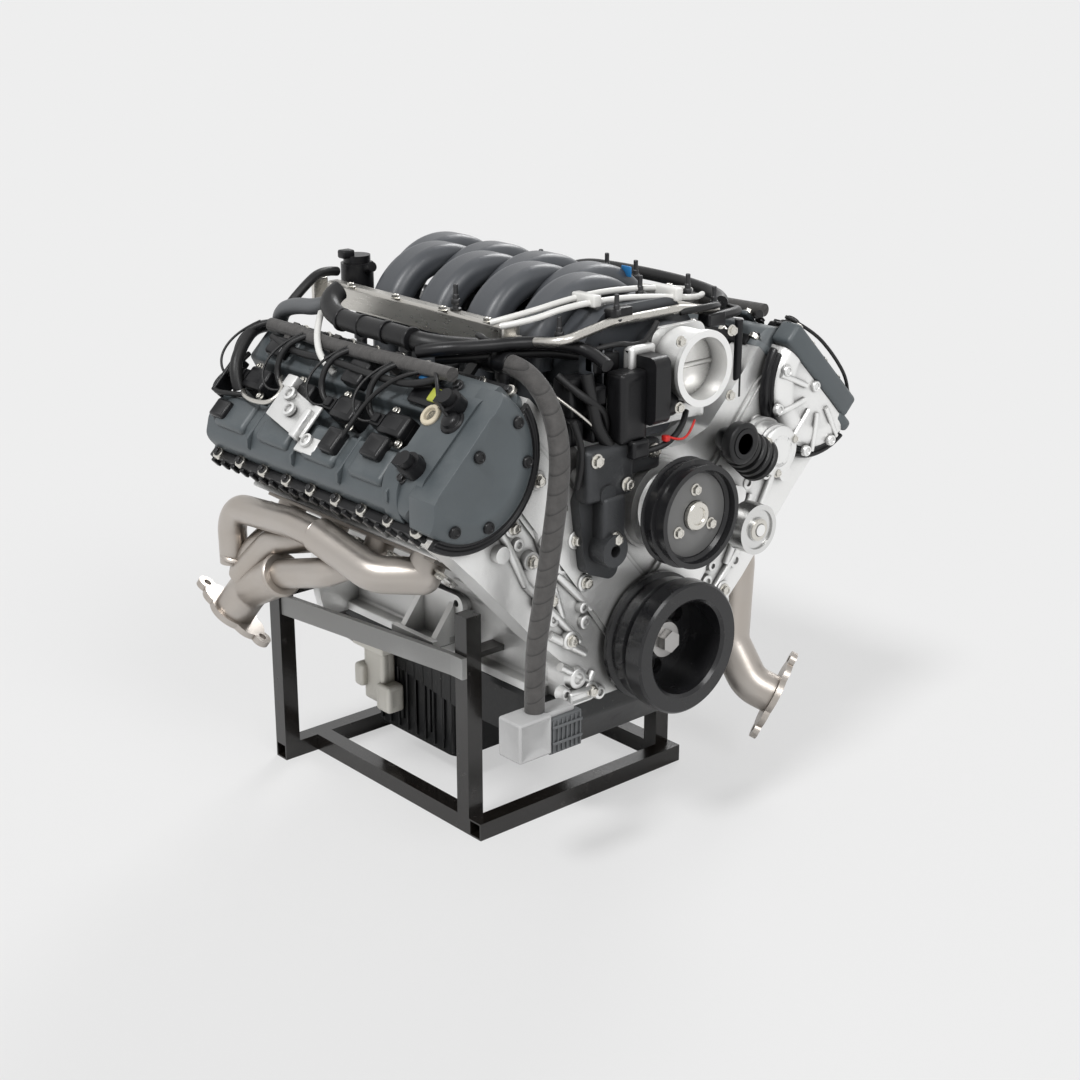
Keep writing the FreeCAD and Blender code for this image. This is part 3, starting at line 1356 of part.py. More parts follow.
def exhaust_port(side, station):
    """Start of a primary in the bar flange, and its first knee outside it."""
    y = cylinder_stations(side)[station]
    return [bank_point(side, 92, y, exhaust_port_rise + 2), bank_point(side, 118, y, exhaust_port_rise - 6)]


def exhaust_manifolds():
    """The right front primary runs back over the others into the collector. The left collector runs forward."""
    neck = right_outlet - right_outlet_facing * 52
    right = [
        (exhaust_port(RIGHT, 3) + [V(-326, -352, 116), V(-334, -244, 143)], front_primary_r),
        ([V(-334, -246, 143), V(-337, -190, 146), V(-334, -34, 131), V(-334, -36, 50)], primary_r),
        (exhaust_port(RIGHT, 2) + [V(-328, -246, 90), V(-332, -140, 60)], primary_r),
        (exhaust_port(RIGHT, 1) + [V(-326, -128, 104), V(-332, -52, 36)], primary_r),
        (exhaust_port(RIGHT, 0) + [V(-322, -72, 74), V(-330, -48, 30)], primary_r),
        ([V(-332, -150, 62), neck, right_outlet - right_outlet_facing], collector_r),
    ]
    neck = left_outlet - left_outlet_facing * 44
    left = [(exhaust_port(LEFT, i) + [V(306, y, 92)], primary_r)
            for i, y in enumerate((-130, -230, -330))]
    left.append((exhaust_port(LEFT, 3) + [V(306, -398, 70)], primary_r))
    left.append(([V(306, -100, 94), V(306, -376, 84), V(286, -404, 0), V(262, -420, -110), neck,
                  left_outlet - left_outlet_facing], collector_r))
    return {
        "exhaust_manifold_right": exhaust_manifold(RIGHT, right, right_outlet, right_outlet_facing,
                                                   right_outlet_lean),
        "exhaust_manifold_left": exhaust_manifold(LEFT, left, left_outlet, left_outlet_facing,
                                                  left_outlet_lean),
    }


# ---------------------------------------------------------------- small fittings along the top
can_r = 23.0
can_x = -104.0
can_y = -28.0
can_foot = 400.0


def separator_can():
    body = cylinder(V(can_x, can_y, can_foot), Z_AXIS, can_r, 38)
    lid = cylinder(V(can_x, can_y, can_foot + 37), Z_AXIS, can_r - 4, 12)
    nozzle = cylinder(V(can_x, can_y, can_foot + 26), V(0, -1, 0.3), 7, 38)
    return fuse([body, lid, nozzle])


def separator_bracket():
    rail_inner = fuel_rail_width - fuel_rail_x
    return box(rail_inner, can_x + 18, can_y - 18, can_y + 18, can_foot - 6, can_foot)


loom_r = 9.0


def engine_loom(side):
    """Taped wiring clipped along the inner side of a cam cover."""
    y0 = -452.0
    y1 = head_rear(side) - 20
    out = -78.0
    rise = cover_top_rise + 4 + loom_r
    points = [(out, y1, rise - 2), (out, y1 - 60, rise), (out + 4, -200, rise), (out, y0, rise + 7)]
    solids = bent_rod([V(*p) for p in points], loom_r, 60)
    clips = [box(out - 12, out + 14, y - 6, y + 6, cover_top_rise, rise).cut(solids)
             for y in (y1 - 50, -200, -330)]
    return [place_on_bank(solid, side) for solid in [solids] + clips]


# ---------------------------------------------------------------- stand
def rail_x(x0, x1, y, z0):
    outer = box(x0, x1, y - tube / 2, y + tube / 2, z0, z0 + tube)
    return outer.cut(box(x0 - 1, x1 + 1, y - tube / 2 + tube_wall, y + tube / 2 - tube_wall, z0 + tube_wall,
                         z0 + tube - tube_wall))


def rail_y(x, y0, y1, z0):
    outer = box(x - tube / 2, x + tube / 2, y0, y1, z0, z0 + tube)
    return outer.cut(box(x - tube / 2 + tube_wall, x + tube / 2 - tube_wall, y0 - 1, y1 + 1, z0 + tube_wall,
                         z0 + tube - tube_wall))


def post(x, y, z0, z1):
    outer = box(x - tube / 2, x + tube / 2, y - tube / 2, y + tube / 2, z0, z1)
    inner = tube / 2 - tube_wall
    return outer.cut(box(x - inner, x + inner, y - inner, y + inner, z0 - 1, z1 - tube_wall))


def stand_parts():
    rail_top = floor_z + tube
    front_y = stand_front + tube / 2
    rear_edge = stand_rear_y - tube / 2
    side_x = stand_half_width - tube / 2
    post_x = stand_rear_half_width - tube / 2
    front_post_y = stand_front + tube * 1.5
    both = SIDES.values()
    return {
        "stand_front_rail": rail_x(-stand_half_width, stand_half_width, front_y, floor_z),
        "stand_rear_rail": rail_x(-stand_rear_half_width, stand_rear_half_width, stand_rear_y, floor_z),
        "stand_side_rails": [rail_y(s * side_x, stand_front + tube, rear_edge, floor_z) for s in both],
        "stand_front_posts": [post(s * side_x, front_post_y, rail_top, front_post_top) for s in both],
        "stand_rear_posts": [post(s * post_x, stand_rear_y, rail_top, rear_post_top) for s in both],
        "stand_upper_bars": [upper_bar(s) for s in both],
        "stand_brackets": stand_brackets(),
    }


bar_thickness = 8.0
bar_height = 30.0


def upper_bar(side):
    """Flat bar from the front post's outer face back to the rear post's front face."""
    x_front = stand_half_width
    x_rear = stand_rear_half_width - tube
    y_front = stand_front + tube
    y_rear = stand_rear_y - tube / 2
    points = [(side * x_front, y_front), (side * (x_front + bar_thickness), y_front),
              (side * (x_front + bar_thickness), y_front + tube), (side * (x_rear + tube - 4), y_rear),
              (side * (x_rear + tube - 4 - bar_thickness), y_rear), (side * x_front, y_front + tube)]
    return plate(points, 0, upper_rail_z - bar_height / 2, upper_rail_z + bar_height / 2)


def stand_brackets():
    """Ears from the posts to the block: front plates to its sides, rear plates to the bell flange's foot."""
    made = []
    for side in SIDES.values():
        y = stand_front + tube * 1.5
        inner = stand_half_width - tube
        xs = sorted((side * skirt_half_width, side * inner))
        made.append(box(xs[0], xs[1], y - tube / 2, y + tube / 2, -36, -28))
        xs = sorted((side * (bell_flange_r - 12), side * (stand_rear_half_width - 2)))
        bar_top = upper_rail_z + bar_height / 2
        made.append(box(xs[0], xs[1], block_rear, stand_rear_y - tube / 2, bar_top, rear_post_top))
    return made


def engine_mount(side):
    """Cast bracket from the block's mount pad down to the stand's bar."""
    face = skirt_half_width + mount_boss_reach
    share = (mount_pad_y - (stand_front + 2 * tube)) / ((stand_rear_y - tube / 2) - (stand_front + 2 * tube))
    bar_inner = stand_half_width + share * (stand_rear_half_width - 4 - bar_thickness - stand_half_width)
    xs = sorted((side * face, side * (face + 9)))
    pad = side_prism(rectangle(mount_pad_y - 56, mount_pad_y + 56, mount_pad_z - 40, mount_pad_z + 38), 14,
                     xs[0], xs[1])
    reach = bar_inner - 12
    xs = sorted((side * (face + 5), side * reach))
    shelf = box(xs[0], xs[1], mount_pad_y - 40, mount_pad_y + 40, -56, -44)
    foot_x = sorted((side * (reach - 9), side * reach))
    foot = box(foot_x[0], foot_x[1], mount_pad_y - 46, mount_pad_y + 46, -62, -30)
    gusset_points = [(side * (face + 5), 14), (side * (face + 9), 14), (side * reach, -44),
                     (side * (face + 5), -44)]
    gussets = [prism(gusset_points, 0, mount_pad_y + s * 34 - 5, mount_pad_y + s * 34 + 5) for s in (-1, 1)]
    holes = [cylinder(V(side * (face - 1), y, z), V(side, 0, 0), mount_hole_r, 20)
             for y, z in mount_holes(side)]
    return cut(fuse([pad, shelf, foot] + gussets), holes)


# ---------------------------------------------------------------- hanging harness
harness_r = 13.0
harness_route = [
    V(-178, -408, 382), V(-178, -458, 382), V(-180, -502, 365), V(-184, -534, 332), V(-190, -551, 290),
    V(-199, -556, 238), V(-208, -554, 176), V(-216, -549, 108), V(-224, -542, 38), V(-224, -542, -38),
]
connector_size = (84.0, 46.0, 58.0)


def harness_clip():
    """Boot that the hanging harness comes out of, on an arm from the cam cover's rail."""
    start = harness_route[0]
    boot = cylinder(start, Y_AXIS, harness_r + 4, 34)
    arm = place_on_bank(box(-138, -cover_rail_inner, start.y + 8, start.y + 24, rail_rise + 1,
                            rail_rise + 7), RIGHT)
    return fuse([boot, arm])


def cord_tube(points, radius):
    """Straight runs joined by tangent arcs, which take 0.45 of the shorter run at each corner."""
    solids = []
    last = points[0]
    for i in range(1, len(points)):
        here = points[i]
        into = (here - points[i - 1]).normalize()
        if i < len(points) - 1:
            out = (points[i + 1] - here).normalize()
            turn = math.acos(max(-1.0, min(1.0, into.dot(out))))
            reach = 0.45 * min((here - points[i - 1]).Length, (points[i + 1] - here).Length)
            arc_r = reach / math.tan(turn / 2)
            end = here - into * reach
            axis = into.cross(out).normalize()
            centre = end + axis.cross(into) * arc_r
            solids.append(cylinder(last, into, radius, (end - last).Length))
            disc = Part.Face(Part.Wire(Part.makeCircle(radius, end, into)))
            solids.append(disc.revolve(centre, axis, math.degrees(turn)))
            last = here + out * reach
        else:
            solids.append(cylinder(last, into, radius, (here - last).Length))
    return fuse(solids)


def harness_connector():
    """Body of the big connector under the cord's end, with a shorter key block beside it."""
    end = harness_route[-1]
    x, y, z = connector_size
    body = box(end.x - x / 2, end.x + x / 2, end.y - y / 2, end.y + y / 2, end.z - z, end.z)
    key = box(end.x + x / 2 - 1, end.x + x / 2 + 22, end.y - y / 2 + 6, end.y + y / 2 - 6,
              end.z - z + 6, end.z - 8)
    return fuse([body, key])


# ---------------------------------------------------------------- all nodes
def main():
    os.makedirs(OUT_DIR, exist_ok=True)
    for name, shape in stand_parts().items():
        save(name, shape)
    both = SIDES.values()
    save("engine_mounts", [engine_mount(side) for side in both])
    for name, side in SIDES.items():
        save("cylinder_head_" + name, cylinder_head(side))
        save("cam_cover_" + name, cam_cover(side))
        save("intake_cam_" + name, [camshaft(side, -cam_offset), cam_wheels(side, -cam_offset)])
        save("exhaust_cam_" + name, [camshaft(side, cam_offset), cam_wheels(side, cam_offset)])
    save("ignition_coils", [coil for side in both for coil in ignition_coils(side)])
    save("fuel_rails", [fuel_rail(side) for side in both])
    save("engine_looms", [solid for side in both for solid in engine_loom(side)])
    for name, shape in exhaust_manifolds().items():
        save(name, shape)
    pistons, rods = crank_train()
    save("pistons", pistons)
    save("connecting_rods", rods)
    save("engine_block", engine_block())
    save("main_caps", main_caps() + main_bearings())
    save("rear_seal_carrier", rear_seal_carrier())
    save("crankshaft", crankshaft())
    save("crank_sprocket", crank_sprocket())
    save("damper", damper())
    save("damper_bolt", damper_bolt())
    save("flexplate", flexplate())
    save("valves", valves())
    save("cam_caps", cam_caps())
    save("timing_chains", timing_chains())
    save("chain_guides", chain_guides())
    save("head_gaskets", head_gaskets())
    save("oil_pan", oil_pan())
    save("oil_pump", [oil_pump(), oil_pickup()])
    save("oil_filter", oil_filter())
    save("front_cover", front_cover())
    save("oil_filler_cap", oil_filler_cap())
    save("spark_plugs", spark_plugs())
    save("cam_solenoids", cam_solenoids())
    save("intake_manifold", intake_manifold())
    save("injectors", injectors())
    save("fuel_crossover", fuel_crossover())
    save("throttle_body", throttle_body())
    save("throttle_plate", throttle_plate())
    save("throttle_motor", throttle_motor())
    save("water_pump", water_pump())
    save("water_pump_pulley", water_pump_pulley())
    save("idler_bracket", idler_bracket())
    save("idler_pulley", idler_pulley())
    save("thermostat_housing", thermostat_housing())
    save("coolant_outlet", coolant_outlet())
    save("accessory_bracket", accessory_bracket())
    save("separator_can", [separator_can(), separator_bracket()])
    save("harness_cord", cord_tube(harness_route, harness_r))
    save("harness_clip", harness_clip())
    save("harness_connector", harness_connector())


main()
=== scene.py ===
"""Looks for a vee-eight engine on its shipping stand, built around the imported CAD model."""

import json
import math

import bpy
import bmesh
from mathutils import Matrix, Vector


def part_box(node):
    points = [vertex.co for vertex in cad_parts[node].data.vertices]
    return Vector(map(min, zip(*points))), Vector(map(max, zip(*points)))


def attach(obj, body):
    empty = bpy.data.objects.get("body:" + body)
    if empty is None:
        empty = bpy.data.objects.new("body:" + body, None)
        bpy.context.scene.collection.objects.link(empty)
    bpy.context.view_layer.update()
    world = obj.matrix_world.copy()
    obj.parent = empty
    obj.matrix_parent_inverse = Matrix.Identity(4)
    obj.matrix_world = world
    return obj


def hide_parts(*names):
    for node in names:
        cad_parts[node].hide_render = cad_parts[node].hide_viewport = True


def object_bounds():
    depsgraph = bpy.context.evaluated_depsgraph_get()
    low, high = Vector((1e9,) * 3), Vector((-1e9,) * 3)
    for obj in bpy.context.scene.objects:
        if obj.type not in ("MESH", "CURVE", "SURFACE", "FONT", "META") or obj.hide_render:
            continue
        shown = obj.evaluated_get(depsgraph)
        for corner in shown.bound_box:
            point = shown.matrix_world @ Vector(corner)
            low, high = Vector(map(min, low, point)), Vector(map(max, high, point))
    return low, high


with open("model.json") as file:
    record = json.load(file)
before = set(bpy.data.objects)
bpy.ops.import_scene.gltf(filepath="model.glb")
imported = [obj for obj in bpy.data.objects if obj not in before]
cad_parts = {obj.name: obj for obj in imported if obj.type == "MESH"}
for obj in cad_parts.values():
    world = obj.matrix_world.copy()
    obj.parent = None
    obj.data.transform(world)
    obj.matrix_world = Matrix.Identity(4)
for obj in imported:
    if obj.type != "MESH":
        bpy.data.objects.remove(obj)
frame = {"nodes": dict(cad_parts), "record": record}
CAD_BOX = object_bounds()

bl_info = {
    "name": "Vee Engine Dressing",
    "version": (1, 0, 0),
    "blender": (4, 5, 0),
    "location": "View3D > Sidebar > Engine",
    "description": "Finishes, fasteners, wiring and studio for a vee-eight engine on a stand",
    "category": "Object",
}

MM = 0.001
LEFT, RIGHT = 1, -1
SIDES = {"left": LEFT, "right": RIGHT}
LEAN = math.radians(45)
CYLINDERS = {LEFT: (-76, -176, -276, -376), RIGHT: (-96, -196, -296, -396)}
HEAD_REAR = {LEFT: -16, RIGHT: -36}
X, Y, Z = Vector((1, 0, 0)), Vector((0, 1, 0)), Vector((0, 0, 1))
HARNESS_ROUTE = [
    (-0.178, -0.408, 0.382), (-0.178, -0.458, 0.382), (-0.180, -0.502, 0.365), (-0.184, -0.534, 0.332),
    (-0.190, -0.551, 0.290), (-0.199, -0.556, 0.238), (-0.208, -0.554, 0.176), (-0.216, -0.549, 0.108),
    (-0.224, -0.542, 0.038), (-0.224, -0.542, -0.038),
]
# Places on the CAD parts, in mm: LOBE_CENTRE is a bank's (out, y, rise), and each AXIS is the engine's (x, z).
LOBE_CENTRE = (10, -519, 425)
COVER_EDGE = 126
FRONT_FACE = -509
PUMP_AXIS = (4, 182)
IDLER_AXIS = (128, 134)
MOUTH_AXIS = (110, 252)
HOUSING_AXIS = (196, 222)

FINISH = {}


# ---------------------------------------------------------------- settings a user may change
def size(name, default, text):
    return bpy.props.FloatProperty(name=name, description=text, default=default, min=0.0, unit="LENGTH",
                                   precision=4)


def colour(name, default, text):
    return bpy.props.FloatVectorProperty(name=name, description=text, default=default, size=3, min=0.0, max=1.0,
                                         subtype="COLOR")


class ENGINE_PG_studio(bpy.types.PropertyGroup):
    azimuth: bpy.props.FloatProperty(name="Azimuth", description="Camera's turn from straight ahead of the engine",
                                     default=math.radians(-41.3), subtype="ANGLE")
    elevation: bpy.props.FloatProperty(name="Elevation", description="Camera's height angle",
                                       default=math.radians(19.2), subtype="ANGLE")
    lens: bpy.props.FloatProperty(name="Lens", description="Focal length on a 36 mm sensor", default=62.2, min=10)
    place: bpy.props.FloatVectorProperty(name="Camera place", description="Where the camera stands",
                                         default=(-1.6226, -2.1444, 0.9292), size=3, subtype="TRANSLATION")
    backdrop: colour("Backdrop", (0.805, 0.805, 0.805), "Colour of the floor and of all behind the engine")
    world_level: bpy.props.FloatProperty(name="Sky level", description="Even light from all round", default=0.33,
                                         min=0.0)


class ENGINE_PG_finishes(bpy.types.PropertyGroup):
    aluminium: colour("Cast aluminium", (0.83, 0.83, 0.82), "Block, heads and brackets")
    cover: colour("Cam covers", (0.07, 0.083, 0.09), "Moulded slate grey of the cam covers")
    intake: colour("Intake", (0.062, 0.067, 0.075), "Moulded grey of the intake manifold")
    black: colour("Black plastic", (0.007, 0.007, 0.008), "Coils, caps and connectors")
    stainless: colour("Stainless tube", (0.47, 0.437, 0.405), "Exhaust manifolds")
    stand: colour("Stand paint", (0.009, 0.0075, 0.0065), "Gloss paint of the shipping stand")
    tape: colour("Wiring tape", (0.06, 0.057, 0.055), "Cloth tape round the wiring")


class ENGINE_PG_details(bpy.types.PropertyGroup):
    wire: size("Wire", 0.0035, "Diameter of single wires")
    harness: size("Harness", 0.026, "Diameter of the hanging harness")
    harness_length: size("Harness length", 0.507, "Length of the hanging harness")


# ---------------------------------------------------------------- materials
class Signal:
    """A value in a material. Its operators add Math nodes, so shader maths reads as Python."""

    def __init__(self, recipe, socket):
        self.recipe = recipe
        self.socket = socket

    def maths(self, operation, other=0.0, swapped=False, limit=False):
        pair = (other, self) if swapped else (self, other)
        return self.recipe.node("ShaderNodeMath", {"operation": operation, "use_clamp": limit},
                                {0: pair[0], 1: pair[1]})

    def __add__(self, other):
        return self.maths("ADD", other)

    def __sub__(self, other):
        return self.maths("SUBTRACT", other)

    def __rsub__(self, other):
        return self.maths("SUBTRACT", other, True)

    def __mul__(self, other):
        return self.maths("MULTIPLY", other)

    __radd__ = __add__
    __rmul__ = __mul__

    def held(self):
        """The value kept from 0 to 1."""
        return self.maths("ADD", 0.0, limit=True)


class Recipe:
    """The nodes of one material or sky. node() adds any node, and surface() ends a material and files it."""

    def __init__(self, name, owner=None):
        self.name = name
        self.owner = owner or bpy.data.materials.new(name)
        self.owner.use_nodes = True
        self.tree = self.owner.node_tree
        self.tree.nodes.clear()

    def node(self, kind, settings=None, sockets=None, output=0):
        made = self.tree.nodes.new(kind)
        for key, value in (settings or {}).items():
            if key == "stops":
                ramp = made.color_ramp.elements
                while len(ramp) < len(value):
                    ramp.new(0.5)
                for element, (position, tone) in zip(ramp, value):
                    element.position = position
                    element.color = (tone, tone, tone, 1.0)
            else:
                setattr(made, key, value)
        for key, value in (sockets or {}).items():
            if isinstance(value, Signal):
                self.tree.links.new(value.socket, made.inputs[key])
            elif made.inputs[key].type == "RGBA":
                made.inputs[key].default_value = (*value, 1.0)
            else:
                made.inputs[key].default_value = value
        return Signal(self, made.outputs[output]) if made.outputs else None

    def place(self, stretch=(1.0, 1.0, 1.0), turn=(0.0, 0.0, 0.0)):
        spot = self.node("ShaderNodeTexCoord", output=3)
        return self.node("ShaderNodeMapping", {}, {"Vector": spot, "Scale": stretch, "Rotation": turn})

    def noise(self, scale, detail=3.0, stretch=(1.0, 1.0, 1.0), rough=0.55):
        return self.node("ShaderNodeTexNoise", {}, {"Vector": self.place(stretch), "Scale": scale,
                                                    "Detail": detail, "Roughness": rough})

    def ramp(self, value, *stops):
        return self.node("ShaderNodeValToRGB", {"stops": stops}, {0: value})

    def mix(self, factor, first, second, blend="MIX"):
        return self.node("ShaderNodeMix", {"data_type": "RGBA", "blend_type": blend},
                         {0: factor, 6: first, 7: second}, output=2)

    def hollows(self, reach=0.018, samples=6):
        """1 in the open and towards 0 in corners and recesses."""
        return self.node("ShaderNodeAmbientOcclusion", {"samples": samples}, {"Distance": reach}, output=1)

    def bump(self, height, distance, strength=1.0, under=None):
        sockets = {"Height": height, "Distance": distance, "Strength": strength}
        if under is not None:
            sockets["Normal"] = under
        return self.node("ShaderNodeBump", {}, sockets)

    def surface(self, **sockets):
        named = {key.replace("_", " ").title().replace("Ior", "IOR"): value for key, value in sockets.items()}
        shader = self.node("ShaderNodeBsdfPrincipled", {}, named)
        self.node("ShaderNodeOutputMaterial", {}, {"Surface": shader})
        FINISH[self.name] = self.owner


def cast_metal(name, tone, shade_tone=(0.05, 0.048, 0.045), grain=0.0005, rough=0.36, metal=0.82):
    """Sand-cast metal: fine grain, cloudy tone, and painted shade that darkens the colour in the recesses."""
    recipe = Recipe(name)
    cloud = recipe.noise(9.0, 4.0)
    sand = recipe.noise(620.0, 2.0)
    lumps = recipe.noise(70.0, 3.0)
    # Painted shade: ambient occlusion, broken up by cloud noise, darkens the colour in the recesses.
    painted_shade = recipe.ramp(recipe.hollows(0.035, 8) + (cloud - 0.5) * 0.3, (0.3, 1.0), (0.86, 0.0))
    worn = recipe.mix(cloud, tone, tuple(min(1.0, c * 1.07) for c in tone))
    base = recipe.mix(painted_shade * 0.88, worn, shade_tone)
    roughness = (cloud - 0.5) * 0.3 + rough + painted_shade * 0.3
    fine = recipe.bump(sand, grain, 0.55)
    recipe.surface(base_color=base, roughness=roughness.held(), metallic=metal - painted_shade * 0.4,
                   normal=recipe.bump(lumps, 0.0012, 0.35, fine))


def machined_metal(name, tone, rough=0.26, stretch=(1.0, 1.0, 1.0), shade_tone=(0.04, 0.036, 0.03), scale=260.0,
                   metal=0.95):
    """Turned or brushed metal: streaks one way, and painted shade that darkens the colour in the recesses."""
    recipe = Recipe(name)
    streak = recipe.noise(scale, 3.0, stretch)
    cloud = recipe.noise(14.0, 3.0)
    # Painted shade: ambient occlusion, broken up by cloud noise, darkens the colour in the recesses.
    painted_shade = recipe.ramp(recipe.hollows(0.012) + (cloud - 0.5) * 0.2, (0.25, 1.0), (0.62, 0.0))
    base = recipe.mix(painted_shade * 0.8, recipe.mix(cloud, tone, tuple(c * 0.86 for c in tone)), shade_tone)
    recipe.surface(base_color=base, roughness=((streak - 0.5) * 0.22 + rough + painted_shade * 0.25).held(),
                   metallic=metal, normal=recipe.bump(streak, 0.0002, 0.4))


def moulded(name, tone, rough=0.44, grain=0.00022, scale=1100.0, ior=1.5, dust=0.08):
    """Moulded plastic: fine spark-eroded grain, flow clouds, painted shade in the recesses and pale dust on what
    faces up.
    """
    recipe = Recipe(name)
    grain_noise = recipe.noise(scale, 2.0)
    cloud = recipe.noise(22.0, 4.0)
    # Painted shade: ambient occlusion darkens the colour in corners and recesses.
    open_ground = recipe.hollows(0.02)
    recess_shade = recipe.ramp(open_ground, (0.15, 0.28), (0.8, 1.0))
    lighter = tuple(c * 1.18 + 0.004 for c in tone)
    flow = recipe.mix(cloud, tuple(c * 0.88 for c in tone), lighter)
    base = recipe.mix(1.0, flow, recess_shade, "MULTIPLY")
    facing = recipe.node("ShaderNodeSeparateXYZ", {}, {0: recipe.node("ShaderNodeNewGeometry", output=1)}, output=2)
    settled = (facing * recipe.ramp(cloud, (0.42, 0.0), (0.75, 1.0)) * dust).held()
    base = recipe.mix(settled, base, (0.36, 0.35, 0.33))
    recipe.surface(base_color=base, roughness=((cloud - 0.5) * 0.16 + rough + settled).held(),
                   ior=ior, normal=recipe.bump(grain_noise, grain, 0.5))


def painted(name, tone, rough=0.3, peel=0.0005, coat=0.35, chip=(0.2, 0.19, 0.18)):
    """Sprayed paint: orange peel, small chips and rubbed places."""
    recipe = Recipe(name)
    orange_peel = recipe.noise(240.0, 2.0)
    cloud = recipe.noise(12.0, 4.0)
    specks = recipe.ramp(recipe.noise(310.0, 2.0), (0.73, 0.0), (0.76, 1.0))
    rubbed = recipe.ramp(recipe.noise(34.0, 5.0), (0.62, 0.0), (0.8, 1.0))
    base = recipe.mix((specks * 0.5 + rubbed * 0.14).held(), tone, chip)
    recipe.surface(base_color=base, roughness=((cloud - 0.5) * 0.3 + rough + rubbed * 0.2).held(),
                   coat_weight=coat, coat_roughness=0.12, ior=1.4, normal=recipe.bump(orange_peel, peel, 0.25))


def stainless_tube(name, tone):
    """Satin stainless: drawn streaks, a warm tint from heat, soft handling marks and painted shade in the recesses.
    """
    recipe = Recipe(name)
    drawn = recipe.noise(300.0, 3.0, (1.0, 0.12, 1.0))
    cloud = recipe.noise(11.0, 4.0)
    tint = recipe.ramp(recipe.noise(6.0, 3.0), (0.42, 0.0), (0.72, 1.0))
    # Painted shade: ambient occlusion darkens the colour towards a dark brown in the recesses.
    painted_shade = recipe.ramp(recipe.hollows(0.03), (0.3, 1.0), (0.8, 0.0))
    warm = recipe.mix(tint * 0.5, tone, (0.4, 0.345, 0.29))
    base = recipe.mix(painted_shade * 0.72, warm, (0.13, 0.105, 0.085))
    recipe.surface(base_color=base, roughness=((drawn - 0.5) * 0.16 + (cloud - 0.5) * 0.16 + 0.36).held(),
                   metallic=0.9, normal=recipe.bump(drawn, 0.00012, 0.4))


def wound_tape(name, tone, pitch=17.0, slope=(0.0, 0.5, 0.0)):
    """Cloth tape wound on a bundle: overlapping turns, a fine weave and fuzz."""
    recipe = Recipe(name)
    turns = recipe.node("ShaderNodeTexWave",
                        {"wave_type": "BANDS", "bands_direction": "Z", "wave_profile": "SAW"},
                        {"Vector": recipe.place(turn=slope), "Scale": pitch, "Distortion": 1.4, "Detail": 2.0},
                        output=1)
    weave = recipe.noise(1500.0, 2.0)
    wrinkle = recipe.noise(85.0, 4.0)
    edge = recipe.ramp(turns, (0.0, 0.35), (0.16, 1.0))
    base = recipe.mix(wrinkle, tuple(c * 0.62 for c in tone), tuple(c * 1.5 for c in tone))
    base = recipe.mix(1.0, base, edge, "MULTIPLY")
    creased = recipe.bump(wrinkle, 0.003, 0.65, recipe.bump(weave, 0.0003, 0.6))
    recipe.surface(base_color=base, roughness=0.78, sheen_weight=0.2,
                   normal=recipe.bump(turns, 0.0012, 0.6, creased))


def make_finishes(hue):
    """Every material, by the record's slot names and a few more for the details."""
    cast_metal("cast_aluminium", hue.aluminium)
    moulded("cover_plastic", hue.cover, 0.42, 0.0003, 900.0, dust=0.1)
    moulded("intake_plastic", hue.intake, 0.36, 0.00018, 1300.0, dust=0.03)
    moulded("black_plastic", hue.black, 0.32, 0.0002, 1200.0, 1.36, 0.02)
    moulded("connector_plastic", (0.42, 0.42, 0.42), 0.5, 0.0002, 900.0, dust=0.0)
    painted("pan_black", (0.008, 0.0085, 0.009), 0.4, 0.0007, 0.08)
    # The third colour is the tone of the painted shade in the recesses.
    cast_metal("bracket_dark", (0.045, 0.047, 0.05), (0.006, 0.006, 0.006), 0.0008, 0.4, 0.5)
    stainless_tube("stainless", hue.stainless)
    painted("stand_steel", hue.stand, 0.22, 0.0005, 0.5)
    painted("bar_grey", (0.33, 0.33, 0.325), 0.4, 0.0006, 0.1, (0.12, 0.11, 0.1))
    machined_metal("rail_steel", (0.62, 0.6, 0.56), 0.3, (1.0, 0.1, 1.0), scale=420.0)
    machined_metal("forged_steel", (0.46, 0.45, 0.44), 0.34)
    machined_metal("piston_aluminium", (0.72, 0.72, 0.71), 0.3)
    painted("pulley_black", (0.01, 0.01, 0.011), 0.27, 0.0003, 0.2)
    machined_metal("idler_bright", (0.74, 0.74, 0.73), 0.22)
    machined_metal("bright_steel", (0.72, 0.71, 0.69), 0.2)
    moulded("guide_nylon", (0.42, 0.33, 0.18), 0.45, dust=0.0)
    painted("filter_paint", (0.7, 0.7, 0.69), 0.25, 0.0003, 0.4)
    moulded("injector_body", (0.03, 0.03, 0.032), 0.3, dust=0.0)
    wound_tape("tape", hue.tape)
    painted("pulley_grey", (0.17, 0.17, 0.168), 0.36, 0.0003, 0.1)
    # The third colour is the tone of the painted shade in the recesses.
    cast_metal("off_white", (0.76, 0.74, 0.68), (0.16, 0.14, 0.11), 0.0009, 0.55, 0.25)
    machined_metal("bolt_zinc", (0.7, 0.68, 0.63), 0.25, scale=500.0)
    machined_metal("bolt_black", (0.05, 0.05, 0.052), 0.34, metal=0.7)
    painted("white_pipe", (0.74, 0.735, 0.71), 0.3, 0.0003, 0.3, (0.4, 0.38, 0.35))
    moulded("seal_cream", (0.62, 0.55, 0.42), 0.5, dust=0.0)
    moulded("tag_blue", (0.02, 0.2, 0.5), 0.4, dust=0.0)
    moulded("clip_orange", (0.75, 0.16, 0.02), 0.4, dust=0.0)
    moulded("clip_green", (0.42, 0.45, 0.06), 0.4, dust=0.0)
    moulded("clip_red", (0.55, 0.02, 0.015), 0.4, dust=0.0)
    moulded("hose_rubber", (0.009, 0.009, 0.0095), 0.42, 0.0004, 500.0, 1.38, 0.02)
    moulded("hose_grey", (0.1, 0.105, 0.11), 0.55, 0.0005, 400.0, dust=0.05)


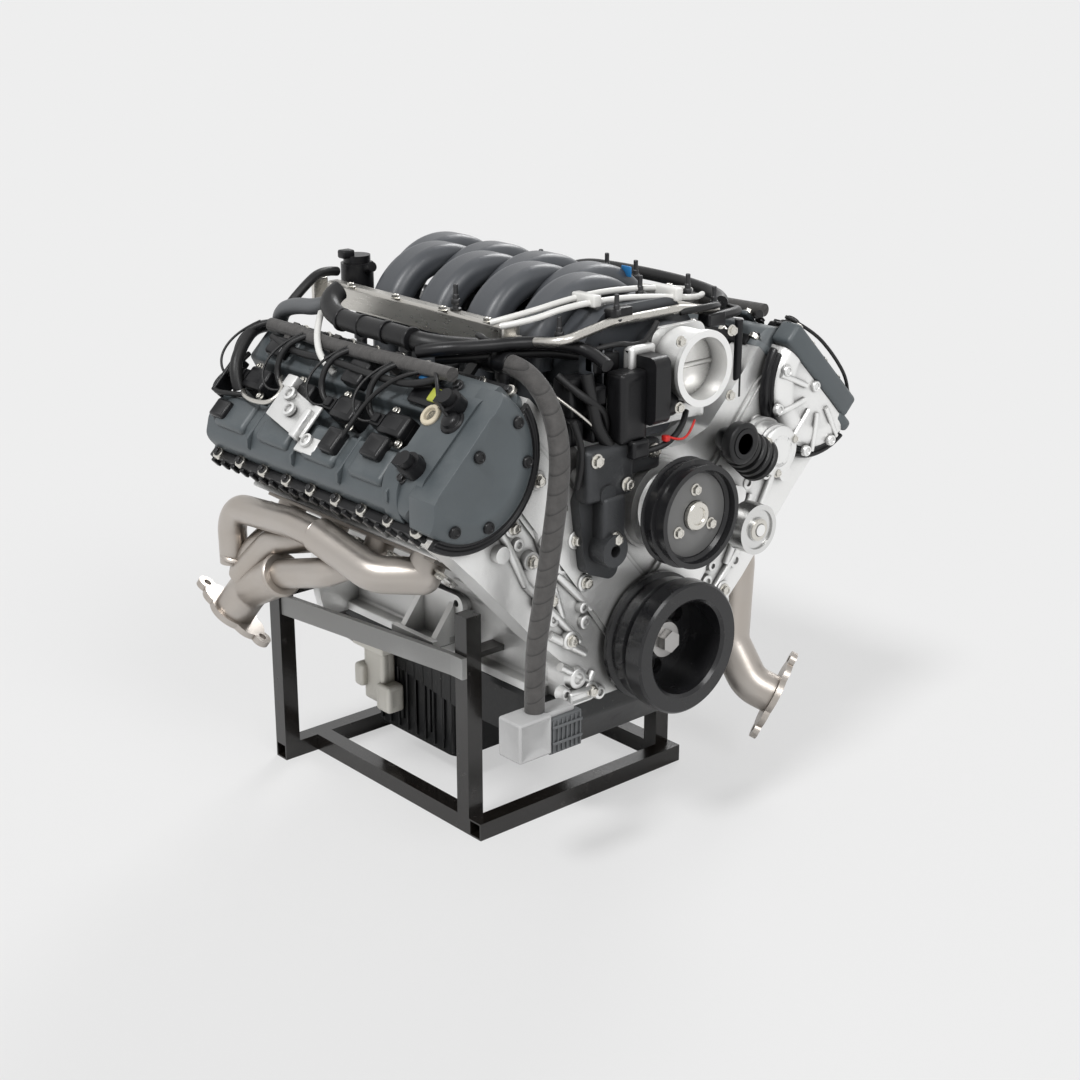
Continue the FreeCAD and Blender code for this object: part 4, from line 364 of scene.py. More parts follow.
# ---------------------------------------------------------------- modelling helpers
def bank_point(side, out, y, rise):
    """A point given along one bank, in mm: out from the cylinders' plane, and up along them."""
    return Vector((side * (rise * math.sin(LEAN) + out * math.cos(LEAN)), y,
                   rise * math.cos(LEAN) - out * math.sin(LEAN))) * MM


def bank_way(side, out, rise):
    """A direction given along one bank."""
    return Vector((side * (rise * math.sin(LEAN) + out * math.cos(LEAN)), 0,
                   rise * math.cos(LEAN) - out * math.sin(LEAN))).normalized()


def start_clean():
    if bpy.context.object and bpy.context.object.mode != "OBJECT":
        bpy.ops.object.mode_set(mode="OBJECT")
    bpy.ops.object.select_all(action="DESELECT")


def choose(piece):
    """Selects one piece alone and makes it active."""
    start_clean()
    piece.select_set(True)
    bpy.context.view_layer.objects.active = piece


def edit(piece):
    """Edit mode on one piece, with all of it selected."""
    choose(piece)
    bpy.ops.object.mode_set(mode="EDIT")
    bpy.ops.mesh.select_all(action="SELECT")


def pick_faces(piece, wanted):
    """Selects the faces that the test wants, in edit mode."""
    mesh = bmesh.from_edit_mesh(piece.data)
    for face in mesh.faces:
        face.select_set(False)
    for face in mesh.faces:
        if wanted(face):
            face.select_set(True)
    mesh.select_flush_mode()
    bmesh.update_edit_mesh(piece.data)


def settle(piece):
    """Back to object mode, with the place in the mesh."""
    bpy.ops.object.mode_set(mode="OBJECT")
    piece.data.transform(piece.matrix_world)
    piece.matrix_world = Matrix.Identity(4)
    return piece


def soften(piece, width, segments=2, angle=35):
    """Bevels the sharp edges with a modifier, and applies it."""
    choose(piece)
    bevel = piece.modifiers.new("soften", "BEVEL")
    bevel.width = width
    bevel.segments = segments
    bevel.limit_method = "ANGLE"
    bevel.angle_limit = math.radians(angle)
    bpy.ops.object.modifier_apply(modifier=bevel.name)
    return piece


def turned(name, steps, sides=24, bevel=0.0):
    """A form on the z axis, given as (radius, height) in mm from its foot up, closed at both ends."""
    start_clean()
    radius, height = steps[0]
    bpy.ops.mesh.primitive_circle_add(vertices=sides, radius=radius * MM, fill_type="NGON",
                                      location=(0, 0, height * MM))
    piece = bpy.context.object
    piece.name = name
    edit(piece)
    for (r0, z0), (r1, z1) in zip(steps, steps[1:]):
        bpy.ops.mesh.extrude_region_move(TRANSFORM_OT_translate={"value": (0, 0, (z1 - z0) * MM)})
        if r1 != r0:
            bpy.ops.transform.resize(value=(r1 / r0, r1 / r0, 1.0), center_override=(0, 0, z1 * MM))
    bpy.ops.mesh.select_all(action="SELECT")
    bpy.ops.mesh.normals_make_consistent(inside=False)
    settle(piece)
    if bevel:
        soften(piece, bevel * MM)
    return piece


def block(name, low, high, bevel=1.0, segments=2):
    """A box between two corners in mm, with its edges rounded."""
    start_clean()
    centre = [(a + b) / 2 * MM for a, b in zip(low, high)]
    bpy.ops.mesh.primitive_cube_add(size=1, location=centre, scale=[abs(b - a) * MM for a, b in zip(low, high)])
    piece = bpy.context.object
    piece.name = name
    bpy.ops.object.transform_apply(location=True, rotation=False, scale=True)
    edit(piece)
    bpy.ops.mesh.bevel(offset=bevel * MM, segments=segments, affect="EDGES")
    return settle(piece)


def inset_faces(piece, wanted, thickness, depth):
    """Sinks or raises the wanted faces inside a border."""
    edit(piece)
    pick_faces(piece, wanted)
    bpy.ops.mesh.inset(thickness=thickness * MM, depth=depth * MM)
    return settle(piece)


def inset_side(piece, way, area, thickness, depth):
    """Sinks or raises the faces that look one way and are larger than an area in m2."""
    return inset_faces(piece, lambda face: face.normal.dot(way) > 0.95 and face.calc_area() > area, thickness, depth)


def towards(way, spin=0.0):
    """Turns the z axis to that direction."""
    return Vector(way).to_track_quat("Z", "Y").to_matrix().to_4x4() @ Matrix.Rotation(spin, 4, "Z")


def put(piece, at, way=Z, spin=0.0):
    """Places a piece that was made at the origin along z."""
    piece.data.transform(Matrix.Translation(at) @ towards(way, spin))
    return piece


def turned_at(name, at, way, steps, sides=24, bevel=0.0):
    """A turned form that stands at a point in mm along a direction."""
    return put(turned(name, steps, sides, bevel), Vector(at) * MM, way)


def copies(source, places):
    """Own-mesh copies of one piece at (point, direction) places. The model itself goes."""
    made = []
    for at, way in places:
        twin = source.copy()
        twin.data = source.data.copy()
        bpy.context.scene.collection.objects.link(twin)
        made.append(put(twin, at, way))
    bpy.data.objects.remove(source)
    return made


def joined(name, pieces):
    start_clean()
    for piece in pieces:
        piece.select_set(True)
    bpy.context.view_layer.objects.active = pieces[0]
    if len(pieces) > 1:
        bpy.ops.object.join()
    pieces[0].name = name
    return pieces[0]


def dress(piece, finish, body="engine", slot=None):
    """Gives a finished piece its material and its body."""
    piece.data.materials.clear()
    piece.data.materials.append(FINISH[finish])
    if piece.type == "MESH":
        choose(piece)
        bpy.ops.object.shade_smooth_by_angle(angle=math.radians(38))
    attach(piece, body)
    slot or (finish if finish in SLOTS else "black_plastic")
    return piece


SLOTS = {material["slot"] for material in frame["record"]["materials"]}


def round_curve(name, points, diameter, resolution, smooth):
    """A round curve through points in metres, closed at both ends."""
    curve = bpy.data.curves.new(name, "CURVE")
    curve.dimensions = "3D"
    curve.bevel_depth = diameter / 2
    curve.bevel_resolution = resolution
    curve.resolution_u = smooth
    curve.use_fill_caps = True
    spline = curve.splines.new("NURBS")
    spline.points.add(len(points) - 1)
    for point, place in zip(spline.points, points):
        point.co = (*place, 1.0)
    spline.order_u = 3
    spline.use_endpoint_u = True
    piece = bpy.data.objects.new(name, curve)
    bpy.context.scene.collection.objects.link(piece)
    return piece


def pipe(name, points, diameter, resolution=5, smooth=10):
    """A fixed pipe through points in metres, turned into a closed mesh."""
    choose(round_curve(name, points, diameter, resolution, smooth))
    bpy.ops.object.convert(target="MESH")
    return bpy.context.object


def flange_bolt(name, across=10.0, head=6.0, washer=1.45):
    """A hexagon head on its own washer, 0 at the seat."""
    seat = turned(name, [(across * washer / 2, 0), (across * washer / 2, head * 0.2),
                         (across * 0.56, head * 0.32)], 20)
    top = turned(name + "_hex", [(across * 0.577, head * 0.25), (across * 0.577, head * 0.92),
                                 (across * 0.5, head), (across * 0.34, head), (across * 0.3, head * 0.9)], 6)
    return joined(name, [seat, top])


def onto_bank(piece, side):
    """Moves a piece from a bank's own frame (out, along, rise) to its place. Side 0 is the engine's frame."""
    if side:
        slope = math.sin(LEAN)
        piece.data.transform(Matrix(((side * slope, 0, side * slope, 0), (0, 1, 0, 0), (-slope, 0, slope, 0),
                                     (0, 0, 0, 1))))
    if side == RIGHT:
        piece.data.flip_normals()
    return piece


def assemble(name, parts, finish, side=0):
    """Joins parts into one dressed piece at its place."""
    return dress(onto_bank(joined(name, parts), side), finish)


def spot(side, point):
    """A table's point in metres: (out, y, rise) on a bank, or (x, y, z) of the engine where the side is 0."""
    return bank_point(side, *point) if side else Vector(point) * MM


def cut_off(piece, point, normal):
    """Cuts away what lies beyond a plane and closes the cut."""
    edit(piece)
    bpy.ops.mesh.bisect(plane_co=Vector(point) * MM, plane_no=normal, use_fill=True, clear_outer=True)
    return settle(piece)


def tubes(side, table):
    """Hoses, pipes and wires from rows of (name, diameter, points, finish)."""
    for name, diameter, points, *finish in table:
        dress(pipe(name, [spot(side, point) for point in points], diameter * MM), *(finish or ("hose_rubber",)))


def blocks(side, table):
    """Rounded blocks with sunk faces from rows of (name, low corner, high corner, rounding, finish)."""
    for name, low, high, rounding, *finish in table:
        piece = block(name, low, high, rounding, 3)
        wide = sorted(b - a for a, b in zip(low, high))[1]
        if wide > 20 and rounding < wide / 6:
            large = 0.3 * (wide * MM) ** 2
            inset_faces(piece, lambda face: face.calc_area() > large, wide * 0.16, -min(2, wide / 14))
        dress(onto_bank(piece, side), *(finish or ("black_plastic",)))


def rings(name, finish, side, at, way, steps, sides=32, bevel=0.6):
    """A dressed turned form from (radius, height) steps, standing at a point along a direction."""
    return dress(onto_bank(turned_at(name, at, way, steps, sides, bevel), side), finish)


def bolts(name, side, points, way=Z, across=10.0, finish="bolt_zinc"):
    """Flange bolts that stand at points along one direction, as one piece."""
    direction = bank_way(side, way.x, way.z) if side else way
    heads = copies(flange_bolt(name, across, across * 0.62), [(spot(side, point), direction) for point in points])
    return dress(joined(name, heads), finish)


# ---------------------------------------------------------------- studio
class ENGINE_OT_stage(bpy.types.Operator):
    """Camera, lamps, pale floor and even sky"""

    bl_idname = "engine.stage"
    bl_label = "Studio"

    def execute(self, context):
        studio = context.scene.engine_studio
        context.scene.view_settings.view_transform = "Standard"
        lens = bpy.data.cameras.new("camera")
        lens.lens = studio.lens
        lens.sensor_width = 36
        lens.clip_end = 200
        camera = bpy.data.objects.new("camera", lens)
        context.scene.collection.objects.link(camera)
        camera.location = studio.place
        camera.rotation_euler = (math.pi / 2 - studio.elevation, 0, studio.azimuth)
        context.scene.camera = camera
        for name, turn, strength, spread in (("key", (38, 0, -75), 1.9, 12), ("front", (52, 0, -8), 1.0, 26),
                                             ("rim", (58, 0, 120), 1.0, 22)):
            lamp = bpy.data.lights.new(name, "SUN")
            lamp.energy = strength
            lamp.angle = math.radians(spread)
            sun = bpy.data.objects.new(name, lamp)
            sun.rotation_euler = [math.radians(a) for a in turn]
            context.scene.collection.objects.link(sun)
        self.sky(context, studio)
        self.floor(context, studio)
        return {"FINISHED"}

    def sky(self, context, studio):
        world = bpy.data.worlds.new("sky")
        context.scene.world = world
        recipe = Recipe("sky", world)
        seen = recipe.node("ShaderNodeLightPath")
        ray = seen.socket.node.outputs
        plain = Signal(recipe, ray["Is Camera Ray"]) + Signal(recipe, ray["Is Glossy Ray"])
        plain = plain + Signal(recipe, ray["Is Transmission Ray"])
        level = recipe.mix(plain.held(), (studio.world_level,) * 3, tuple(studio.backdrop))
        shade = recipe.node("ShaderNodeBackground", {}, {"Color": level, "Strength": 1.0})
        recipe.node("ShaderNodeOutputWorld", {}, {"Surface": shade})

    def floor(self, context, studio):
        start_clean()
        bpy.ops.mesh.primitive_circle_add(vertices=64, radius=60, fill_type="NGON",
                                          location=(0, 0, CAD_BOX[0][2]))
        floor = context.object
        floor.name = "floor"
        settle(floor)
        recipe = Recipe("floor")
        ray = recipe.node("ShaderNodeLightPath")
        matt = recipe.node("ShaderNodeBsdfDiffuse", {}, {"Color": (0.8, 0.8, 0.8)})
        glow = recipe.node("ShaderNodeEmission", {}, {"Color": tuple(studio.backdrop), "Strength": 1.0})
        both = recipe.node("ShaderNodeMixShader", {}, {0: ray * 0.62, 1: matt, 2: glow})
        recipe.node("ShaderNodeOutputMaterial", {}, {"Surface": both})
        floor.data.materials.append(recipe.owner)


# ---------------------------------------------------------------- finishes on the CAD nodes
class ENGINE_OT_finishes(bpy.types.Operator):
    """Materials, and their assignment to the CAD nodes by the record's slots"""

    bl_idname = "engine.finishes"
    bl_label = "Finishes"

    def execute(self, context):
        make_finishes(context.scene.engine_finishes)
        slots = {row["node"]: row["material_slot"] for row in frame["record"]["subparts"]}
        for name, node in frame["nodes"].items():
            node.data.materials.clear()
            node.data.materials.append(FINISH[slots[name]])
        return {"FINISHED"}


# ---------------------------------------------------------------- harness
class ENGINE_OT_harness(bpy.types.Operator):
    """Hanging harness: the taped cord, its boot and its connector"""

    bl_idname = "engine.harness"
    bl_label = "Hanging harness"

    def execute(self, context):
        sizes = context.scene.engine_details
        cord = dress(round_curve("hanging_harness", HARNESS_ROUTE, sizes.harness, 7, 16), "tape")
        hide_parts("harness_cord")
        boot = self.boot()
        shell, core, latch = self.connector()
        return {"FINISHED"}

    def boot(self):
        """Tapered strain relief over the harness's first run."""
        boot = turned("harness_boot", [(17.5, 0), (17.5, 8), (16.5, 10), (16.5, 18), (15, 20), (15, 28), (13.8, 31),
                                       (13.8, 40), (13.2, 44)], 32, 0.5)
        put(boot, Vector(HARNESS_ROUTE[0]) + Vector((0, 0.004, 0)), -Y)
        return dress(boot, "black_plastic")

    def connector(self):
        """Pale shell with a sunk port, dark ribbed core beside it, and the latch over both."""
        low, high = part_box("harness_connector")
        low, high = low / MM, high / MM
        seam = low.x + (high.x - low.x) * 0.5
        shell = block("connector_shell", (low.x, low.y + 2, low.z + 4), (seam, high.y - 2, high.z - 0.5), 3, 3)
        for way, border, depth in ((-Y, 9, -7), (-X, 7, -3), (Z, 4, 1.5)):
            inset_side(shell, way, 2e-4, border, depth)
        dress(shell, "connector_plastic")
        parts = [block("connector_core", (seam - 2, low.y + 4, low.z + 1), (high.x - 1, high.y - 4, high.z - 8), 2)]
        for i in range(7):
            x = seam + 3 + i * (high.x - seam - 8) / 6
            parts.append(block("rib", (x - 1.2, low.y + 2, low.z + 3), (x + 1.2, low.y + 6, high.z - 11), 0.5, 1))
        for z in (low.z + 14, high.z - 22):
            parts.append(block("rib", (seam + 1, low.y + 1, z), (high.x - 2, low.y + 5, z + 4), 0.6, 1))
        core = dress(joined("connector_core", parts), "hose_grey", slot="black_plastic")
        latch = block("connector_latch", (low.x + 5, low.y + 8, high.z - 9), (high.x - 10, high.y - 8, high.z - 1), 2)
        inset_side(latch, Z, 2e-4, 5, -2)
        dress(latch, "connector_plastic")
        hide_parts("harness_connector")
        return shell, core, latch


# ---------------------------------------------------------------- cam covers
class ENGINE_OT_covers(bpy.types.Operator):
    """Cam covers: front lobes and seals, bay domes, rim strips, clips and screws"""

    bl_idname = "engine.covers"
    bl_label = "Cam covers"

    def execute(self, context):
        for word, side in SIDES.items():
            self.lobe(word, side)
            self.bays(word, side)
            self.rim(word, side)
        return {"FINISHED"}

    def lobe(self, word, side):
        """Rounded front of the cover over the chain wheels, with the dark seal round its edge."""
        metal, boss, top, drop = "cast_aluminium", "cast_aluminium", 416, 22
        if side == RIGHT:
            metal, boss, top, drop = "cover_plastic", "black_plastic", 449, 0
        seal = turned_at("seal_" + word, LOBE_CENTRE, -Y, [
            (109, -3), (109, 4), (107, 7), (103, 8), (101, 5), (98, 5), (96, 9), (94, 9)], 72)
        lobe = turned_at("lobe_" + word, LOBE_CENTRE, -Y, [
            (94, -30), (94, 7), (91, 12), (86, 15), (79, 17), (70, 18), (64, 17.6), (61, 16), (30, 16.6)], 72)
        cut_off(seal, (0, 0, 404), Z)
        cut_off(lobe, (0, 0, top), Z)
        for piece in (seal, lobe):
            cut_off(piece, (COVER_EDGE, 0, 400), (1, 0, 1))
            soften(piece, 0.003, 3, 50)
            onto_bank(piece, side)
        dress(lobe, metal)
        dress(seal, "black_plastic")
        if side == RIGHT:
            self.arch(side)
        else:
            self.front_strip(side)
        for i, (out, rise) in enumerate(((-2, 432), (-66, 412), (-40, 366), (52, 360), (84, 400))):
            rings("lobe_boss_%s_%d" % (word, i), boss, side, (out, -534, rise - drop), -Y,
                  [(8, 0), (7.5, 5.5), (6.5, 7), (4.5, 7), (4.2, 5.4)], 24)
        bolts("lobe_screws_" + word, side, [(-74, -452, 449), (60, -462, 449)], finish="bolt_black")

    def arch(self, side):
        """Raised arch over the front cam wheel."""
        arch = turned_at("cover_arch", (46, -446, 402), Y, [
            (54, -17), (54, 12), (50, 17), (46, 17), (44, 13), (44, -17)], 64)
        cut_off(arch, (0, 0, 408), -Z)
        cut_off(arch, (COVER_EDGE, 0, 405), (1, 0, 1))
        soften(arch, 0.0015, 2, 50)
        dress(onto_bank(arch, side), "cover_plastic")

    def front_strip(self, side):
        """Grey strip of the cover over the bright front casting, the casting's ribs and the wire round them."""
        blocks(side, (
            ("front_strip", (-96, -540, 416), (84, -506, 449), 6, "cover_plastic"),
            ("front_strip_end", (70, -538, 404), (104, -506, 421), 6, "cover_plastic"),
        ))
        bolts("front_strip_bolts", side, [(out, -523, 449) for out in (-78, -40, 0, 40, 72)])
        ribs = []
        for angle in (-14, -50, -86, -122, -160):
            across, up = math.cos(math.radians(angle)), math.sin(math.radians(angle))
            ribs.append(pipe("rib", [bank_point(side, 10 + reach * across, y, 410 + reach * up)
                                     for reach, y in ((30, -537), (60, -537), (84, -534))], 8 * MM, 3, 4))
        assemble("front_casting_ribs", ribs, "cast_aluminium")
        tubes(side, (
            ("front_loop", 5, [(-98, -512, 452), (-60, -530, 462), (0, -534, 464), (60, -532, 458), (98, -526, 424),
                (104, -500, 408), (107, -470, 404)]),
        ))

    def bays(self, word, side):
        """A raised dome over each cylinder's valve gear, outboard and inboard of the coils."""
        for i, y in enumerate(CYLINDERS[side]):
            under_cap = side == LEFT and i == 2
            for row, low, high in (("outer", (31, y + 9 if under_cap else y - 35, 436), (77, y + 33, 452)),
                                   ("inner", (-90, y - 30, 434), (-34, y + 28, 448))):
                dome = block("bay_%s_%s_%d" % (row, word, i), low, high, 7, 4)
                inset_side(dome, Z, 6e-4, 6, -1.2)
                dress(onto_bank(dome, side), "cover_plastic")
            ridge = block("ridge_%s_%d" % (word, i), (26, y - 52, 430), (90, y - 47, 447), 1.6)
            cut_off(ridge, (COVER_EDGE, 0, 402), (1, 0, 1))
            dress(onto_bank(ridge, side), "cover_plastic")

    def rim(self, word, side):
        """Dark clip rails along the cover's edges, and the cover's screws in their sleeves."""
        rear = HEAD_REAR[side]
        first_clip, first_screw = -482, -488
        rail = [block("rim", (96, -494, 391), (109, rear - 2, 408), 2.2),
                block("rim", (-111, -486, 392), (-98, rear - 2, 408), 2.2)]
        for i in range(20):
            y = first_clip + i * (rear - 10 - first_clip) / 19
            rail.append(block("clip", (106, y - 4, 389), (114, y + 4, 404), 1.2, 1))
        assemble("rim_" + word, rail, "black_plastic", side)
        stations = [first_screw + i * (rear - 20 - first_screw) / 8 for i in range(9)]
        places = [(out, y, 409) for out in (102, -103) for y in stations]
        sleeves = copies(turned("sleeve", [(8.5, -4), (8.5, 1.5), (7.5, 2.5)], 20),
                         [(spot(side, point), bank_way(side, 0, 1)) for point in places])
        assemble("sleeves_" + word, sleeves, "bolt_zinc")
        bolts("cover_screws_" + word, side, [(out, y, rise + 2.4) for out, y, rise in places], Z, 8, "bolt_black")


class ENGINE_OT_coils(bpy.types.Operator):
    """Ignition coils' caps, plugs, screws and their wires to the looms"""

    bl_idname = "engine.coils"
    bl_label = "Coils and wires"

    def execute(self, context):
        wire = context.scene.engine_details.wire / MM
        for word, side in SIDES.items():
            for i, y in enumerate(CYLINDERS[side]):
                tag = "_%s_%d" % (word, i)
                cap = block("coil_cap" + tag, (-16, y - 21, 440), (16, y + 24, 455), 4, 3)
                inset_side(cap, Z, 3e-4, 4, 1.6)
                inset_side(cap, Z, 2e-4, 4, -1.4)
                dress(onto_bank(cap, side), "black_plastic")
                plug = [block("plug", (-9, y + 26, 437), (9, y + 47, 453), 2, 2),
                        block("plug", (-6, y + 30, 451), (6, y + 42, 457), 1.4, 2),
                        block("plug", (-11, y + 24, 440), (11, y + 30, 450), 1.4, 2)]
                assemble("coil_plug" + tag, plug, "black_plastic", side)
                tubes(side, (
                    ("coil_lead" + tag, 8, [(0, y + 44, 446), (-6, y + 62, 452), (-34, y + 66, 468),
                        (-62, y + 56, 470), (-78, y + 40, 462)]),
                    ("coil_wire" + tag, wire, [(4, y + 46, 450), (16, y + 58, 458), (-8, y + 76, 474),
                        (-50, y + 70, 474), (-74, y + 50, 468)]),
                ))
            bolts("coil_screws_" + word, side, [(20, y - 18, 444) for y in CYLINDERS[side]], Z, 8)
            bolts("coil_screws_rear_" + word, side, [(-20, y + 22, 444) for y in CYLINDERS[side]], Z, 8)
        return {"FINISHED"}


class ENGINE_OT_right_top(bpy.types.Operator):
    """Right cover: breather hose, grey elbow, small pipes, bracket and sensors"""

    bl_idname = "engine.right_top"
    bl_label = "Right cover fittings"

    def execute(self, context):
        tubes(RIGHT, (
            ("breather_hose", 27, [(-150, -150, 462), (-130, -150, 470), (-108, -186, 470), (-106, -255, 470),
                (-108, -327, 468), (-110, -376, 458), (-140, -404, 420)]),
            ("vent_elbow", 22, [(-96, -40, 440), (-103, -54, 456), (-113, -87, 462), (-118, -127, 460),
                (-140, -146, 452)], "hose_grey"),
            ("white_line", 9, [(-110, -150, 466), (-92, -165, 470), (-68, -187, 472), (-46, -214, 468),
                (-40, -232, 452)], "white_pipe"),
            ("silver_line", 6.5, [(20, -76, 446), (28, -93, 458), (36, -128, 462), (30, -164, 460), (4, -166, 456),
                (-6, -146, 456), (-14, -134, 448)], "rail_steel"),
            ("black_loop", 7, [(-30, -44, 452), (-12, -52, 460), (20, -34, 462), (40, -40, 462), (36, -70, 460),
                (26, -92, 450)]),
            ("rear_hose", 17, [(-90, -26, 430), (-70, -34, 462), (-30, -46, 470), (6, -60, 466), (22, -70, 448)]),
            ("sensor_wire", 5, [(-26, -484, 452), (-30, -476, 474), (-58, -452, 480), (-78, -420, 466)]),
            ("cross_wire", 6, [(-75, -399, 460), (-60, -380, 472), (-20, -340, 466), (40, -330, 458),
                (60, -318, 450)]),
            ("cover_conduit", 10, [(-88, -440, 456), (-52, -420, 466), (-48, -330, 462), (-52, -230, 464),
                (-46, -140, 462), (-60, -80, 460)]),
        ))
        self.bracket()
        blocks(RIGHT, (
            ("hinge_connector", (44, -84, 444), (70, -54, 458), 3),
            ("blue_connector", (-86, -410, 446), (-64, -390, 460), 2.5, "tag_blue"),
            ("orange_latch", (-82, -394, 450), (-68, -382, 464), 2, "clip_orange"),
            ("green_connector", (-60, -443, 446), (-41, -424, 458), 2.5, "clip_green"),
            ("relay_box", (-66, -452, 444), (-34, -388, 456), 4),
            ("rear_sensor", (-64, -120, 446), (-36, -84, 464), 5),
            ("rear_bridge", (-20, -44, 440), (40, -38, 466), 2),
            ("mid_connector", (30, -330, 446), (64, -300, 462), 4),
            ("mid_relay", (-64, -300, 444), (-30, -262, 464), 4),
            ("front_relay", (20, -412, 448), (52, -376, 462), 4),
        ))
        rings("cream_ring", "seal_cream", RIGHT, (-26, -444, 446), Z, [(15, 0), (15, 8), (13, 10), (9, 10), (8, 6)])
        rings("round_sensor", "black_plastic", RIGHT, (-26, -484, 440), Z,
              [(17, 0), (17, 12), (15, 15), (12, 15), (11, 20), (8, 22)])
        rings("front_pot", "black_plastic", RIGHT, (40, -470, 444), Z, [(14, 0), (14, 10), (11, 13), (6, 14)])
        for i, y in enumerate((-350, -300, -250, -205)):
            rings("hose_clamp_%d" % i, "black_plastic", RIGHT, (-107, y, 469.5), Y,
                  [(14.4, -3), (15.2, -2), (15.2, 2), (14.4, 3)], 28, 0)
        return {"FINISHED"}

    def bracket(self):
        """Bright stamped bracket, bent and pierced, over the middle of the cover."""
        plate = block("stamped_bracket", (-2, -246, 462), (46, -176, 466), 1.5)
        bend = -0.222
        edit(plate)
        bpy.ops.mesh.bisect(plane_co=(0, bend, 0), plane_no=Y)
        pick_faces(plate, lambda face: face.calc_center_median().y < bend - MM)
        bpy.ops.transform.translate(value=(0.012, -0.012, -0.010))
        settle(plate)
        parts = [plate] + [block("lug", low, high, 2) for low, high in (
            ((50, -290, 446), (74, -250, 452)), ((-16, -190, 448), (2, -168, 466)),
            ((20, -252, 448), (62, -240, 464)))]
        for place in ((10, -196, 462), (30, -214, 462), (58, -268, 452)):
            parts.append(turned_at("boss", place, Z, [(9, 0), (9, 5), (6, 6), (5, 3)], 20))
        assemble("stamped_bracket", parts, "cast_aluminium", RIGHT)


class ENGINE_OT_left_top(bpy.types.Operator):
    """Left cover: strip, wire loop, connectors and pipes"""

    bl_idname = "engine.left_top"
    bl_label = "Left cover fittings"

    def execute(self, context):
        tubes(LEFT, (
            ("left_loop", 6, [(-96, -500, 440), (-60, -506, 462), (0, -500, 466), (50, -480, 462), (84, -430, 446),
                (100, -350, 424), (104, -300, 416)]),
            ("left_conduit", 11, [(-90, -460, 452), (-60, -440, 466), (-52, -330, 462), (-50, -200, 464),
                (-58, -80, 460)]),
            ("left_breather", 18, [(-96, -60, 440), (-108, -90, 462), (-112, -200, 466), (-110, -330, 466),
                (-116, -410, 452), (-150, -446, 424)]),
            ("left_vent", 7, [(40, -380, 450), (52, -410, 462), (30, -440, 464), (-10, -446, 460),
                (-30, -430, 452)], "rail_steel"),
        ))
        blocks(LEFT, (
            ("left_strip", (-92, -440, 446), (66, -424, 453), 3, "cover_plastic"),
            ("left_connector", (92, -318, 398), (112, -286, 412), 4),
            ("left_relay", (-64, -490, 444), (-30, -456, 462), 4),
            ("left_sensor", (-60, -250, 446), (-34, -214, 464), 4),
            ("left_clip_red", (-20, -496, 450), (-8, -486, 456), 1.5, "clip_red"),
        ))
        bolts("left_strip_screws", LEFT, [(out, -432, 453) for out in (-82, -40, 10, 56)])
        rings("left_pot", "black_plastic", LEFT, (26, -476, 444), Z, [(15, 0), (15, 12), (12, 16), (6, 17)])
        return {"FINISHED"}


